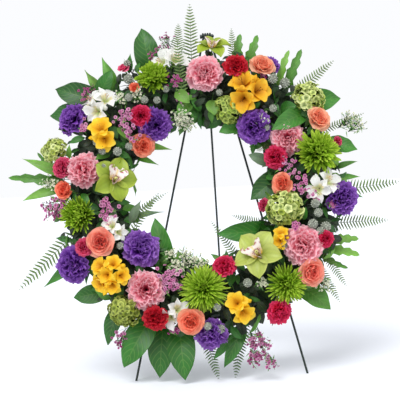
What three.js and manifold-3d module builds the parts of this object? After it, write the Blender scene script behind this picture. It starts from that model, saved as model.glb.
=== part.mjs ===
// A funeral wreath on its folding wire easel: mixed blossoms set into a ring of floral foam,
// backed by leaves and fern fronds, held by three wire hooks on the easel. Millimetres, +Z up.
// The wreath is made lying in its own plane (x right, y up the ring, z out of its face) and is
// then leaned back; blossoms are placed by their clock angle and their reach from the centre.
import * as THREE from "three";
import { mergeVertices } from "three/addons/utils/BufferGeometryUtils.js";
import Module from "manifold-3d";

// ---- Driving dimensions ----
// How far the wreath and the front legs lean back, and the height of the wreath's centre.
const LEAN = THREE.MathUtils.degToRad(15);
const CENTRE_HEIGHT = 403;
// How far the wreath hangs to the left of the easel's middle.
const HUNG_ASIDE = 27;
// The play between pieces that touch.
const GAP = 0.35;

// The foam ring and its tray: half widths are either side of the ring's middle circle.
const RING_RADIUS = 245;
const FOAM_HALF_WIDTH = 38;
const FOAM_TOP = 70;
const TRAY_HALF_WIDTH = 42;
const TRAY_WALL = 2;
const TRAY_FLOOR = 2.5;
const TRAY_HEIGHT = 20;
const RING_SEGMENTS = 36;

// The easel: wire radius, legs behind the tray, the hinge's eyes side by side on one bolt.
const WIRE = 2.5;
const WIRE_SIDES = 8;
const LEG_PLANE = -(WIRE + GAP);
const APEX_UP = 391;
const FOOT_OUT = 195;
const REAR_FOOT_BACK = 260;
const EYE_RADIUS = 6.1;
const EYE_PITCH = 5.6;
const EYE_STEPS = 12;
const BOLT_RADIUS = 3;
const BOLT_HEAD = 4;
const BOLT_SPARE = 2;
const BOLT_SIDES = 12;
const NUT_RADIUS = 5.5;
const NUT_THICK = 4;
const NUT_SIDES = 6;

// The hooks that carry the ring: how far they come forward and turn up over the tray's rim.
const HOOK_FORWARD = 28;
const HOOK_TIP = 13;
const HOOK_BEND = 5;
const HOOK_STEPS = 8;
const HOOK_PLAY = 3;

// The bed of blossoms: half an oval over the ring, along which the heads sit and tilt.
const BED_HALF_WIDTH = 110;
const BED_HALF_HEIGHT = 78;
const BED_CORE = 42;
const BED_LIMIT = 0.9;
const TILT_SHARE = 0.75;
const MOSS_THICK = 8;
const MOSS_LOW = 24;
const MOSS_STEPS = 9;
const MOSS_SHOULDER = 12;

// Stems, and where they go into the foam: a share of the head's place across the ring.
const STEM = 1.9;
const STEM_SIDES = 4;
const STEM_DEPTH = 22;
const STEM_ACROSS = 28;

const LEAF_THICK = 3;
const LEAF_BOW = 0.06;
const FROND_THICK = 2.4;
const FROND_BOW = 8;
const FROND_TEETH = 7;
const FROND_RIB = 0.16;

// ---- Blossoms: [clock degrees, reach, width, lift] for each one, in the order of its number ----
const BLOSSOMS = {
  purple_carnation: [
    [303, 345, 76, 0],
    [328, 180, 74, 2],
    [43, 186, 76, 2],
    [242, 336, 79, 0],
    [227, 185, 81, 0],
    [96, 322, 76, 0],
    [178, 327, 72, -8],
  ],
  pink_carnation: [
    [282, 268, 76, 0],
    [5, 268, 80, 0],
    [210, 257, 80, -4],
    [122, 266, 84, 0],
    [62, 230, 72, -10],
  ],
  crimson_carnation: [
    [19, 294, 54, 14],
    [324, 212, 47, 12],
    [282, 318, 46, 10],
    [70, 183, 52, 8],
    [165, 183, 50, 8],
    [201, 308, 54, 10],
    [150, 330, 54, 8],
  ],
  coral_rose: [
    [29, 319, 56, 6],
    [311, 168, 56, 4],
    [272, 303, 48, 12],
    [243, 252, 62, 14],
    [62, 311, 54, 8],
    [90, 187, 47, 12],
    [130, 313, 58, 6],
    [186, 300, 56, 12],
  ],
  spider_mum: [
    [340, 277, 88, 0],
    [76, 276, 112, 4],
    [260, 277, 103, 0],
    [180, 228, 114, 4],
    [141, 290, 98, 0],
  ],
  viburnum: [
    [289, 352, 70, -12],
    [52, 325, 85, 0],
    [22, 196, 74, -8],
    [106, 196, 92, 0],
    [214, 321, 82, -6],
  ],
  freesia: [
    [302, 251, 78, 18],
    [29, 245, 98, 20],
    [228, 282, 100, 22],
    [164, 286, 74, 16],
  ],
  alstroemeria: [
    [313, 307, 84, 8],
    [349, 309, 80, 6],
    [92, 278, 76, 10],
    [194, 288, 66, 2],
  ],
  cymbidium: [
    [279, 192, 100, 12],
    [7, 343, 84, 8],
    [142, 199, 108, 20],
  ],
};

// ---- Leaves: [base clock, base reach, base height, tip clock, tip reach, tip height, width] ----
const LEAVES = [
  [340, 300, 40, 345, 400, 52, 62],
  [316, 310, 42, 309, 410, 34, 58],
  [312, 305, 28, 302, 390, 18, 52],
  [308, 300, 52, 297, 362, 66, 48],
  [320, 305, 34, 320, 390, 44, 27],
  [324, 305, 48, 327, 384, 58, 28],
  [278, 310, 36, 278, 430, 36, 26],
  [280, 306, 46, 284, 404, 56, 21],
  [277, 306, 26, 271, 402, 22, 20],
  [246, 310, 30, 242, 420, 34, 27],
  [226, 310, 40, 233, 375, 46, 46],
  [218, 305, 28, 214, 404, 34, 42],
  [204, 300, 40, 206, 432, 52, 66],
  [199, 300, 26, 195, 428, 30, 64],
  [192, 300, 40, 187, 426, 60, 66],
  [164, 305, 34, 175, 400, 48, 36],
  [136, 305, 38, 135, 395, 48, 52],
  [70, 305, 40, 77, 372, 52, 44],
  [48, 305, 38, 58, 392, 48, 60],
  [80, 190, 40, 102, 115, 66, 56],
  [119, 190, 44, 162, 105, 78, 50],
  [205, 190, 42, 244, 120, 58, 48],
  [2, 190, 40, 9, 152, 62, 34],
  [312, 190, 40, 330, 124, 44, 18],
  [303, 190, 36, 308, 120, 40, 16],
  [253, 190, 40, 246, 92, 44, 16],
  [41, 306, 40, 37, 398, 54, 17],
  [38, 306, 52, 34, 380, 66, 15],
  [18, 306, 40, 16, 376, 52, 19],
  [22, 306, 48, 22, 382, 60, 19],
  [114, 306, 40, 109, 360, 46, 22],
  [117, 306, 30, 114, 374, 34, 22],
  [120, 306, 40, 120, 376, 46, 22],
  [82, 306, 40, 81, 368, 46, 16],
  [86, 306, 50, 87, 366, 56, 16],
  [90, 306, 36, 94, 372, 38, 22],
];

// ---- Fern fronds: [base clock, base reach, base height, tip clock, tip reach, tip height, width] ----
const FRONDS = [
  [358, 300, 32, 359, 435, 44, 44],
  [351, 300, 50, 355, 390, 66, 42],
  [258, 300, 36, 245, 472, 30, 48],
  [44, 300, 36, 47, 425, 44, 36],
  [92, 300, 28, 89, 435, 34, 44],
  [107, 300, 40, 101, 415, 46, 40],
  [64, 300, 34, 66, 420, 42, 22],
  [122, 300, 36, 131, 400, 44, 30],
  [183, 300, 44, 177, 424, 66, 36],
  [162, 300, 34, 172, 426, 44, 38],
  [116, 190, 36, 128, 86, 44, 26],
  [252, 190, 48, 275, 76, 54, 22],
];

// ---- Colours and finishes ----
const FINISHES = {
  purple_carnation: { color: 0x5b2a9c, roughness: 0.75 },
  pink_carnation: { color: 0xf2849a, roughness: 0.75 },
  crimson_carnation: { color: 0xc3123c, roughness: 0.7 },
  coral_rose: { color: 0xf58468, roughness: 0.6 },
  spider_mum: { color: 0x93c02c, roughness: 0.65 },
  viburnum: { color: 0xc3d47c, roughness: 0.8 },
  freesia: { color: 0xffcf12, roughness: 0.55 },
  alstroemeria: { color: 0xf7f6ee, roughness: 0.6 },
  cymbidium: { color: 0xc0d06a, roughness: 0.5 },
  greenery: { color: 0x2f6a26, roughness: 0.45 },
  foam: { color: 0x2d5236, roughness: 0.95 },
  tray: { color: 0x23332a, roughness: 0.5 },
  wire: { color: 0x1e352c, roughness: 0.45, metalness: 0.5 },
};

// ---- Solids ----
const wasm = await Module();
wasm.setup();
const MERGE_DISTANCE = 1e-3;

function solidOf(geometry) {
  const bare = geometry.clone();
  bare.deleteAttribute("normal");
  bare.deleteAttribute("uv");
  const merged = mergeVertices(bare, MERGE_DISTANCE);
  const corners = merged.index.array;
  const kept = [];
  for (let i = 0; i < corners.length; i += 3) {
    const [a, b, c] = corners.slice(i, i + 3);
    const collapsed = a === b || b === c || c === a;
    if (!collapsed) kept.push(a, b, c);
  }
  return new wasm.Manifold(
    new wasm.Mesh({
      numProp: 3,
      vertProperties: merged.attributes.position.array,
      triVerts: Uint32Array.from(kept),
    }),
  );
}

function geometryOf(solid) {
  const mesh = solid.getMesh();
  const geometry = new THREE.BufferGeometry();
  geometry.setAttribute("position", new THREE.BufferAttribute(mesh.vertProperties, 3));
  geometry.setIndex(new THREE.BufferAttribute(mesh.triVerts, 1));
  geometry.computeVertexNormals();
  return geometry;
}

function joined(solids) {
  return solids.reduce((sum, next) => sum.add(next));
}

function without(solid, cutters) {
  return cutters.reduce((left, cutter) => left.subtract(cutter), solid);
}

function largestPiece(solid) {
  return solid.decompose().sort((a, b) => b.volume() - a.volume())[0];
}

// The turn that brings +z to a direction.
function turnTo(direction) {
  return new THREE.Quaternion().setFromUnitVectors(new THREE.Vector3(0, 0, 1), direction);
}

// ---- Curves and skins ----
// A closed skin through rings that have equal numbers of points; a ring of one point is a tip.
function skin(rings) {
  const points = rings.flat();
  const index = [];
  let start = 0;
  for (let i = 0; i + 1 < rings.length; i++) {
    const low = rings[i].length;
    const high = rings[i + 1].length;
    const next = start + low;
    for (let k = 0; k < Math.max(low, high); k++) {
      const a = start + (k % low);
      const b = start + ((k + 1) % low);
      const c = next + (k % high);
      const d = next + ((k + 1) % high);
      if (a !== b) index.push(a, b, d);
      if (c !== d) index.push(a, d, c);
    }
    start = next;
  }
  return new THREE.BufferGeometry().setFromPoints(points).setIndex(index);
}

function wire(points, radius, steps = 1) {
  const corners = Array.from({ length: WIRE_SIDES }, (_, k) => {
    const angle = (2 * Math.PI * k) / WIRE_SIDES;
    return new THREE.Vector2(radius * Math.cos(angle), radius * Math.sin(angle));
  });
  const path =
    points.length === 2
      ? new THREE.LineCurve3(...points)
      : new THREE.CatmullRomCurve3(points, false, "centripetal");
  const options = { steps, bevelEnabled: false, extrudePath: path };
  return solidOf(new THREE.ExtrudeGeometry(new THREE.Shape(corners), options));
}

function rod(from, to, radius, sides) {
  const span = new THREE.Vector3().subVectors(to, from);
  const cylinder = new THREE.CylinderGeometry(radius, radius, span.length(), sides);
  cylinder.rotateX(Math.PI / 2).applyQuaternion(turnTo(span.clone().normalize()));
  const halfway = from.clone().lerp(to, 0.5);
  return solidOf(cylinder.translate(halfway.x, halfway.y, halfway.z));
}

// ---- Places on the ring ----
function atClock(clock, reach, height) {
  const angle = THREE.MathUtils.degToRad(clock);
  return new THREE.Vector3(reach * Math.sin(angle), reach * Math.cos(angle), height);
}

// Where a blossom sits on the rounded bed of the ring, and the way it faces.
function seatOf([clock, reach, width, lift]) {
  const across = THREE.MathUtils.clamp((reach - RING_RADIUS) / BED_HALF_WIDTH, -BED_LIMIT, BED_LIMIT);
  const slope = Math.asin(across);
  const height = BED_CORE + BED_HALF_HEIGHT * Math.cos(slope) + lift;
  const tilt = TILT_SHARE * slope;
  const facing = atClock(clock, Math.sin(tilt), Math.cos(tilt));
  const place = new THREE.Matrix4().makeRotationFromQuaternion(turnTo(facing));
  place.setPosition(atClock(clock, reach, height));
  const root = atClock(clock, RING_RADIUS + STEM_ACROSS * across, FOAM_TOP - STEM_DEPTH);
  return { place, width, root };
}

// ---- Blossom heads, each about its own centre and facing +z ----
// Profiles are [radius, height] in half widths; their rings swell and dip by turns in lobes.
const CARNATION = {
  profile: [[0, -0.95], [0.22, -0.85], [0.3, -0.38], [0.9, 0], [0.74, 0.4], [0.36, 0.56], [0, 0.52]],
  lobes: 5,
  ruffle: 0.09,
  wave: 0.05,
};
const SMALL_CARNATION = {
  profile: [[0, -1], [0.26, -0.9], [0.34, -0.34], [0.9, 0.04], [0.6, 0.5], [0, 0.56]],
  lobes: 4,
  ruffle: 0.1,
  wave: 0.06,
};
const ROSE = {
  profile: [[0, -0.75], [0.34, -0.58], [0.9, 0], [0.66, 0.46], [0.3, 0.56], [0, 0.46]],
  lobes: 4,
  ruffle: 0.09,
  wave: 0.04,
};
const MUM = {
  profile: [[0, -0.5], [0.36, -0.34], [0.82, 0], [0.5, 0.3], [0, 0.4]],
  lobes: 10,
  ruffle: 0.2,
  wave: 0.03,
};
const VIBURNUM = {
  profile: [[0, -0.62], [0.56, -0.46], [0.92, -0.02], [0.72, 0.42], [0.36, 0.62], [0, 0.64]],
  lobes: 5,
  ruffle: 0.07,
  wave: 0.05,
};
const TRUMPET = {
  profile: [[0.8, 0.28], [0.3, 0.04], [0, -0.12]],
  lobes: 6,
  ruffle: 0.22,
  wave: 0.03,
};

// The rings of a head; with room it is the space the head needs: its lobes at their widest, its
// hollows filled and that much more all round.
function lobedHead(kind, width, room = 0) {
  const half = width / 2;
  const segments = 2 * kind.lobes;
  const swell = (1 + kind.ruffle) / Math.cos(Math.PI / segments);
  const radii = kind.profile.map(([radius]) => radius);
  const widest = radii.indexOf(Math.max(...radii));
  const rimHeight = kind.profile[widest][1];
  const rings = kind.profile.map(([radius, height], ring) => {
    const upper = ring >= widest;
    const level = room && upper ? Math.max(height, rimHeight) : height;
    const away = (upper ? 1 : -1) * (kind.wave * half + room);
    if (radius === 0) return [new THREE.Vector3(0, 0, half * level + (room ? away : 0))];
    const points = [];
    for (let k = 0; k < segments; k++) {
      const lobe = (k + ring) % 2 === 0 ? 1 : -1;
      const reach = half * radius * (room ? swell : 1 + lobe * kind.ruffle) + room;
      const lift = half * level + (room ? away : lobe * kind.wave * half);
      const angle = (2 * Math.PI * k) / segments;
      points.push(new THREE.Vector3(reach * Math.cos(angle), reach * Math.sin(angle), lift));
    }
    return points;
  });
  return rings;
}

// Three trumpet flowers whose throats narrow to one shared base; sizes are shares of the width.
const TRUMPETS = { count: 3, flower: 0.56, depth: 0.4, spread: 0.27, turn: 0.5 };
function trumpets(width, room) {
  const base = new THREE.Vector3(0, 0, -TRUMPETS.depth * width);
  const flowers = Array.from({ length: TRUMPETS.count }, (_, i) => {
    const angle = (2 * Math.PI * i) / TRUMPETS.count + TRUMPETS.turn;
    const centre = new THREE.Vector3(Math.cos(angle), Math.sin(angle), 0);
    centre.multiplyScalar(TRUMPETS.spread * width);
    const along = new THREE.Vector3().subVectors(centre, base);
    const foot = [new THREE.Vector3(0, 0, -along.length() - 2 * room)];
    const flower = skin([foot, ...lobedHead(TRUMPET, TRUMPETS.flower * width, room)]);
    flower.applyQuaternion(turnTo(along.clone().normalize()));
    return solidOf(flower.translate(centre.x, centre.y, centre.z));
  });
  return joined(flowers);
}

// A flat lens across a blade: right edge, underside, left edge, top, with the edges raised.
function lens(centre, along, half, deep, raise) {
  const across = new THREE.Vector3(along.y, -along.x, 0).normalize();
  const above = new THREE.Vector3().crossVectors(across, along).normalize();
  const at = (side, up) => centre.clone().addScaledVector(across, side).addScaledVector(above, up);
  return [at(half, raise), at(0, -deep), at(-half, raise), at(0, deep)];
}

// A pointed blade: lenses along a curve, from a thin stalk to the tip.
const BLADE_SHARES = [0.22, 0.5, 0.8];
const BLADE_WIDTHS = [0.76, 1, 0.64];
const BLADE_FOLD = 0.1;
function blade({ stalk, base, middle, tip, width, thick, stem = 0, room = 0 }) {
  const curve = new THREE.QuadraticBezierCurve3(base, middle, tip);
  const rings = [[stalk.clone().addScaledVector(curve.getTangentAt(0), -2 * room)]];
  if (stem) rings.push(lens(base, curve.getTangentAt(0), stem, stem, 0));
  BLADE_SHARES.forEach((share, i) => {
    const half = (BLADE_WIDTHS[i] * width) / 2 + room;
    const deep = thick / 2 + room;
    rings.push(lens(curve.getPointAt(share), curve.getTangentAt(share), half, deep, BLADE_FOLD * half));
  });
  rings.push([tip.clone().addScaledVector(curve.getTangentAt(1), 3 * room)]);
  return solidOf(skin(rings));
}

// Five broad tepals about a lip; places are [outward, height] in half widths.
const TEPALS = { count: 5, thick: 5, width: 0.56, stalk: [0, -0.3], base: [0.1, -0.16] };
const TEPAL_CURVE = { middle: [0.6, 0.16], tip: [1, 0.02] };
const LIP = { radius: 0.26, down: 0.16, height: 0.1, sides: 6, rings: 4 };
function orchid(width, room) {
  const half = width / 2;
  const tepals = Array.from({ length: TEPALS.count }, (_, i) => {
    const angle = Math.PI / 2 + (2 * Math.PI * i) / TEPALS.count;
    const at = ([outward, height]) =>
      new THREE.Vector3(outward * Math.cos(angle), outward * Math.sin(angle), height).multiplyScalar(half);
    return blade({
      stalk: at(TEPALS.stalk),
      base: at(TEPALS.base),
      middle: at(TEPAL_CURVE.middle),
      tip: at(TEPAL_CURVE.tip),
      width: TEPALS.width * half,
      thick: TEPALS.thick,
      room,
    });
  });
  const lip = new THREE.SphereGeometry(LIP.radius * half + room, LIP.sides, LIP.rings);
  lip.translate(0, -LIP.down * half, LIP.height * half);
  return joined([...tepals, solidOf(lip)]);
}

// Each kind's head, and how far down its axis the stem begins, as a share of its width.
const lobed = (kind) => (width, room) => solidOf(skin(lobedHead(kind, width, room)));
const HEADS = {
  purple_carnation: { make: lobed(CARNATION), neck: 0.2 },
  pink_carnation: { make: lobed(CARNATION), neck: 0.2 },
  crimson_carnation: { make: lobed(SMALL_CARNATION), neck: 0.2 },
  coral_rose: { make: lobed(ROSE), neck: 0.2 },
  spider_mum: { make: lobed(MUM), neck: 0.15 },
  viburnum: { make: lobed(VIBURNUM), neck: 0.2 },
  freesia: { make: trumpets, neck: 0.37 },
  alstroemeria: { make: trumpets, neck: 0.37 },
  cymbidium: { make: orchid, neck: 0.13 },
};

function neckOf(kind, { place, width }) {
  return new THREE.Vector3(0, 0, -HEADS[kind].neck * width).applyMatrix4(place);
}

// A head with its stem down into the foam, in the wreath's frame.
function blossomSolid(kind, seat, room = 0) {
  const head = geometryOf(HEADS[kind].make(seat.width, room)).applyMatrix4(seat.place);
  return solidOf(head).add(rod(neckOf(kind, seat), seat.root, STEM + 2 * room, STEM_SIDES));
}

// The hole that a stem makes, a little wider and deeper than the stem.
function stemHole(kind, seat) {
  const neck = neckOf(kind, seat);
  const down = new THREE.Vector3().subVectors(seat.root, neck).normalize();
  return rod(neck, seat.root.clone().addScaledVector(down, GAP), STEM + 2 * GAP, STEM_SIDES);
}

// ---- Greenery ----
// How far from the centre greenery is rooted: the moss's outer or inner side.
function mossReach(reach) {
  const side = reach > RING_RADIUS ? 1 : -1;
  return RING_RADIUS + side * (FOAM_HALF_WIDTH + MOSS_THICK / 2);
}

function leafSolid([baseClock, baseReach, baseHeight, tipClock, tipReach, tipHeight, width]) {
  const base = atClock(baseClock, baseReach, baseHeight);
  const tip = atClock(tipClock, tipReach, tipHeight);
  const middle = base.clone().lerp(tip, 0.5);
  middle.z += LEAF_BOW * base.distanceTo(tip);
  return blade({
    stalk: atClock(baseClock, mossReach(baseReach), baseHeight - STEM),
    base,
    middle,
    tip,
    width,
    thick: LEAF_THICK,
    stem: STEM,
  });
}

// A fern frond: one toothed blade bent along a curve, widest a quarter of the way along.
function frondSolid([baseClock, baseReach, baseHeight, tipClock, tipReach, tipHeight, width]) {
  const start = atClock(baseClock, mossReach(baseReach), baseHeight);
  const tip = atClock(tipClock, tipReach, tipHeight);
  const bowHeight = (baseHeight + tipHeight) / 2 + FROND_BOW;
  const bow = atClock(baseClock, (mossReach(baseReach) + tipReach) / 2, bowHeight);
  const curve = new THREE.QuadraticBezierCurve3(start, bow, tip);
  const rings = [[start]];
  for (let i = 1; i <= 2 * FROND_TEETH; i++) {
    const share = i / (2 * FROND_TEETH + 1);
    const taper = Math.sin((Math.PI * (1 + 3 * share)) / 4);
    const half = (width / 2) * (i % 2 === 0 ? taper : FROND_RIB);
    rings.push(lens(curve.getPointAt(share), curve.getTangentAt(share), half, FROND_THICK / 2, 0));
  }
  rings.push([tip]);
  return solidOf(skin(rings));
}

// A quarter of the moss that wraps the foam's sides and top.
function mossSolid(fromClock, toClock) {
  const wall = FOAM_HALF_WIDTH + GAP;
  const out = wall + MOSS_THICK;
  const under = FOAM_TOP + GAP;
  const top = under + MOSS_THICK;
  const shoulder = top - MOSS_SHOULDER;
  const section = [
    [out, MOSS_LOW], [out, shoulder], [out - MOSS_SHOULDER, top], [MOSS_SHOULDER - out, top],
    [-out, shoulder], [-out, MOSS_LOW], [-wall, MOSS_LOW], [-wall, under], [wall, under], [wall, MOSS_LOW],
  ];
  const shape = new THREE.Shape(section.map(([across, height]) => new THREE.Vector2(across, height)));
  const options = { steps: MOSS_STEPS, depth: 1, bevelEnabled: false };
  const bar = new THREE.ExtrudeGeometry(shape, options);
  const position = bar.getAttribute("position");
  for (let i = 0; i < position.count; i++) {
    const clock = THREE.MathUtils.lerp(fromClock, toClock, position.getZ(i));
    const point = atClock(clock, RING_RADIUS + position.getX(i), position.getY(i));
    position.setXYZ(i, point.x, point.y, point.z);
  }
  return solidOf(bar);
}

// ---- Foam and tray ----
function ringSolid(section) {
  const outline = section.map(([across, height]) => new THREE.Vector2(RING_RADIUS + across, height));
  outline.push(outline[0]);
  return solidOf(new THREE.LatheGeometry(outline, RING_SEGMENTS).rotateX(Math.PI / 2));
}

function foamSolid() {
  const half = FOAM_HALF_WIDTH;
  const low = TRAY_FLOOR + GAP;
  return ringSolid([
    [-half, low], [half, low], [half, FOAM_TOP], [-half, FOAM_TOP],
  ]);
}

function traySolid() {
  const out = TRAY_HALF_WIDTH;
  const wall = out - TRAY_WALL;
  return ringSolid([
    [-out, 0], [out, 0], [out, TRAY_HEIGHT], [wall, TRAY_HEIGHT],
    [wall, TRAY_FLOOR], [-wall, TRAY_FLOOR], [-wall, TRAY_HEIGHT], [-out, TRAY_HEIGHT],
  ]);
}

// ---- Easel ----
// The front legs' plane in the easel's upright frame, level with the wreath's middle.
const leaned = new THREE.Matrix4()
  .makeTranslation(0, 0, CENTRE_HEIGHT)
  .multiply(new THREE.Matrix4().makeRotationX(Math.PI / 2 - LEAN));
const upright = (x, y, z) => new THREE.Vector3(x, y, z).applyMatrix4(leaned);
const hung = new THREE.Matrix4().makeTranslation(-HUNG_ASIDE, 0, 0).multiply(leaned);
const apex = upright(0, APEX_UP, LEG_PLANE);
const onBolt = (x) => new THREE.Vector3(x, apex.y, apex.z);

// The eyes' places along the bolt: left leg, rear leg, top hook, right leg.
const FRONT_EYE = 1.5 * EYE_PITCH;
const REAR_EYE = -0.5 * EYE_PITCH;
const HOOK_EYE = 0.5 * EYE_PITCH;

// The floor in the wreath's plane, and how fast the front legs spread on the way down to it.
const FLOOR_DOWN = -(CENTRE_HEIGHT + LEG_PLANE * Math.sin(LEAN)) / Math.cos(LEAN);
const LEG_SLOPE = (FOOT_OUT - FRONT_EYE) / (APEX_UP - FLOOR_DOWN);
const BELOW_FLOOR = 12;

// A loop of wire round the hinge bolt.
function eyeSolid(x) {
  const eye = new THREE.TorusGeometry(EYE_RADIUS, WIRE, WIRE_SIDES, EYE_STEPS);
  return solidOf(eye.rotateY(Math.PI / 2).translate(x, apex.y, apex.z));
}

// Legs are made a little long and cut level with the floor.
function aboveFloor(solid) {
  const ground = new THREE.BoxGeometry(4 * FOOT_OUT, 4 * APEX_UP, 4 * BELOW_FLOOR);
  return solid.subtract(solidOf(ground.translate(0, 0, -2 * BELOW_FLOOR)));
}

// Where a front leg crosses the circle on which the tray's rim is carried.
function lowerHookPlace(side) {
  const reach = RING_RADIUS + TRAY_HALF_WIDTH + WIRE + GAP;
  const offset = FRONT_EYE + LEG_SLOPE * APEX_UP;
  const fromRing = offset + side * HUNG_ASIDE;
  const a = 1 + LEG_SLOPE ** 2;
  const b = -2 * fromRing * LEG_SLOPE;
  const c = fromRing ** 2 - reach ** 2;
  const y = (-b - Math.sqrt(b ** 2 - 4 * a * c)) / (2 * a);
  return new THREE.Vector2(side * (offset - LEG_SLOPE * y), y);
}

// A hook comes forward from a place behind the ring and turns up over its rim, towards a direction.
function hookPath(place, upward, behind) {
  const at = (up, z) => upright(place.x + upward.x * up, place.y + upward.y * up, z);
  return [
    at(0, behind),
    at(0, HOOK_FORWARD - HOOK_BEND),
    at(0.3 * HOOK_BEND, HOOK_FORWARD - 0.3 * HOOK_BEND),
    at(HOOK_BEND, HOOK_FORWARD),
    at(HOOK_TIP, HOOK_FORWARD),
  ];
}

function lowerHookPath(side) {
  const place = lowerHookPlace(side);
  const inward = new THREE.Vector2(-HUNG_ASIDE, 0).sub(place).normalize();
  return hookPath(place, inward, LEG_PLANE);
}

function topHookPath() {
  const reach = RING_RADIUS - TRAY_HALF_WIDTH - WIRE - HOOK_PLAY;
  const place = new THREE.Vector2(HOOK_EYE, Math.sqrt(reach ** 2 - (HOOK_EYE + HUNG_ASIDE) ** 2));
  const at = (up, z) => upright(place.x, place.y + up, z);
  const corner = [at(HOOK_BEND, LEG_PLANE), at(0.3 * HOOK_BEND, LEG_PLANE + 0.3 * HOOK_BEND)];
  return [...corner, ...hookPath(place, new THREE.Vector2(0, 1), LEG_PLANE + HOOK_BEND)];
}

function frontLegSolid(side) {
  const eyeAt = side * FRONT_EYE;
  const below = upright(eyeAt, APEX_UP - EYE_RADIUS, LEG_PLANE);
  const footOut = side * (FOOT_OUT + BELOW_FLOOR * LEG_SLOPE);
  const foot = upright(footOut, FLOOR_DOWN - BELOW_FLOOR, LEG_PLANE);
  const hook = wire(lowerHookPath(side), WIRE, HOOK_STEPS);
  return aboveFloor(joined([eyeSolid(eyeAt), wire([below, foot], WIRE), hook]));
}

function rearLegSolid() {
  const rearFoot = new THREE.Vector3(REAR_EYE, apex.y + REAR_FOOT_BACK, 0);
  const down = new THREE.Vector3().subVectors(rearFoot, onBolt(REAR_EYE)).normalize();
  const below = onBolt(REAR_EYE).addScaledVector(down, EYE_RADIUS);
  const foot = rearFoot.clone().addScaledVector(down, BELOW_FLOOR);
  return aboveFloor(eyeSolid(REAR_EYE).add(wire([below, foot], WIRE)));
}

function topHookSolid() {
  const path = topHookPath();
  const below = upright(HOOK_EYE, APEX_UP - EYE_RADIUS, LEG_PLANE);
  return joined([eyeSolid(HOOK_EYE), wire([below, path[0]], WIRE), wire(path, WIRE, HOOK_STEPS)]);
}

function hingeBoltSolid() {
  const reach = FRONT_EYE + WIRE + 2 * GAP;
  const end = reach + NUT_THICK + BOLT_SPARE;
  const shank = rod(onBolt(-reach - BOLT_HEAD), onBolt(end), BOLT_RADIUS, BOLT_SIDES);
  return shank.add(rod(onBolt(-reach - BOLT_HEAD), onBolt(-reach), NUT_RADIUS, NUT_SIDES));
}

function hingeNutSolid() {
  const from = FRONT_EYE + WIRE + 2 * GAP;
  const to = from + NUT_THICK;
  const hole = rod(onBolt(from - 1), onBolt(to + 1), BOLT_RADIUS + GAP, BOLT_SIDES);
  return rod(onBolt(from), onBolt(to), NUT_RADIUS, NUT_SIDES).subtract(hole);
}

// Room for a hook in the foam and moss that it presses into, in the wreath's frame.
function hookRoom(path) {
  const flat = hung.clone().invert();
  const points = path.map((point) => point.clone().applyMatrix4(flat));
  return wire(points, WIRE + 2 * GAP, HOOK_STEPS);
}

// ---- Assembly ----
const model = new THREE.Group();
const easel = new THREE.Group();
const wreath = new THREE.Group();
wreath.applyMatrix4(hung);
model.add(easel, wreath);

function addMesh(parent, name, geometry, finish) {
  const mesh = new THREE.Mesh(geometry, new THREE.MeshStandardMaterial(FINISHES[finish]));
  mesh.name = name;
  parent.add(mesh);
  return mesh;
}

addMesh(easel, "easel_left_leg", geometryOf(frontLegSolid(-1)), "wire");
addMesh(easel, "easel_right_leg", geometryOf(frontLegSolid(1)), "wire");
addMesh(easel, "easel_rear_leg", geometryOf(rearLegSolid()), "wire");
addMesh(easel, "easel_top_hook", geometryOf(topHookSolid()), "wire");
addMesh(easel, "hinge_bolt", geometryOf(hingeBoltSolid()), "wire");
addMesh(easel, "hinge_nut", geometryOf(hingeNutSolid()), "wire");
const hookRooms = [lowerHookPath(-1), lowerHookPath(1), topHookPath()].map(hookRoom);

// Blossoms that stand prouder are made first, and those behind give way to them.
const blossoms = Object.entries(BLOSSOMS).flatMap(([kind, spots]) =>
  spots.map((spot, i) => ({ kind, lift: spot[3], name: `${kind}_${i + 1}`, seat: seatOf(spot) })),
);
blossoms.sort((a, b) => b.lift - a.lift);
const rooms = [];
for (const { kind, name, seat } of blossoms) {
  const solid = largestPiece(without(blossomSolid(kind, seat), rooms));
  rooms.push(blossomSolid(kind, seat, GAP));
  const fromSeat = geometryOf(solid).applyMatrix4(seat.place.clone().invert());
  addMesh(wreath, name, fromSeat, kind).applyMatrix4(seat.place);
}

const holes = blossoms.map(({ kind, seat }) => stemHole(kind, seat));
const foam = largestPiece(without(foamSolid(), [...holes, ...hookRooms]));
addMesh(wreath, "foam_ring", geometryOf(foam), "foam");
addMesh(wreath, "base_tray", geometryOf(traySolid()), "tray");

// The greenery is made in quarters, each with its own moss, leaves and fronds.
const QUARTERS = ["upper_right", "lower_right", "lower_left", "upper_left"];
const SEAM = 0.08;
QUARTERS.forEach((quarter, turn) => {
  const inQuarter = ([baseClock]) => Math.floor(baseClock / 90) === turn;
  const leaves = LEAVES.filter(inQuarter).map(leafSolid);
  const fronds = FRONDS.filter(inQuarter).map(frondSolid);
  const moss = mossSolid(90 * turn + SEAM, 90 * (turn + 1) - SEAM);
  const growth = joined([moss, ...leaves, ...fronds]);
  const left = largestPiece(without(growth, [...rooms, ...hookRooms]));
  addMesh(wreath, `greenery_${quarter}`, geometryOf(left), "greenery");
});

// The part's origin: on the floor, under the middle of its own box.
model.updateMatrixWorld(true);
const box = new THREE.Box3().setFromObject(model, true);
const boxCentre = box.getCenter(new THREE.Vector3());
model.position.set(-boxCentre.x, -boxCentre.y, -box.min.z);

export default model;
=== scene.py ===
"""The looks of a funeral wreath on its wire easel: petals, leaves, ferns, foam and wire."""
import math

import bpy
import numpy as np
from mathutils import Matrix, Vector


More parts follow.
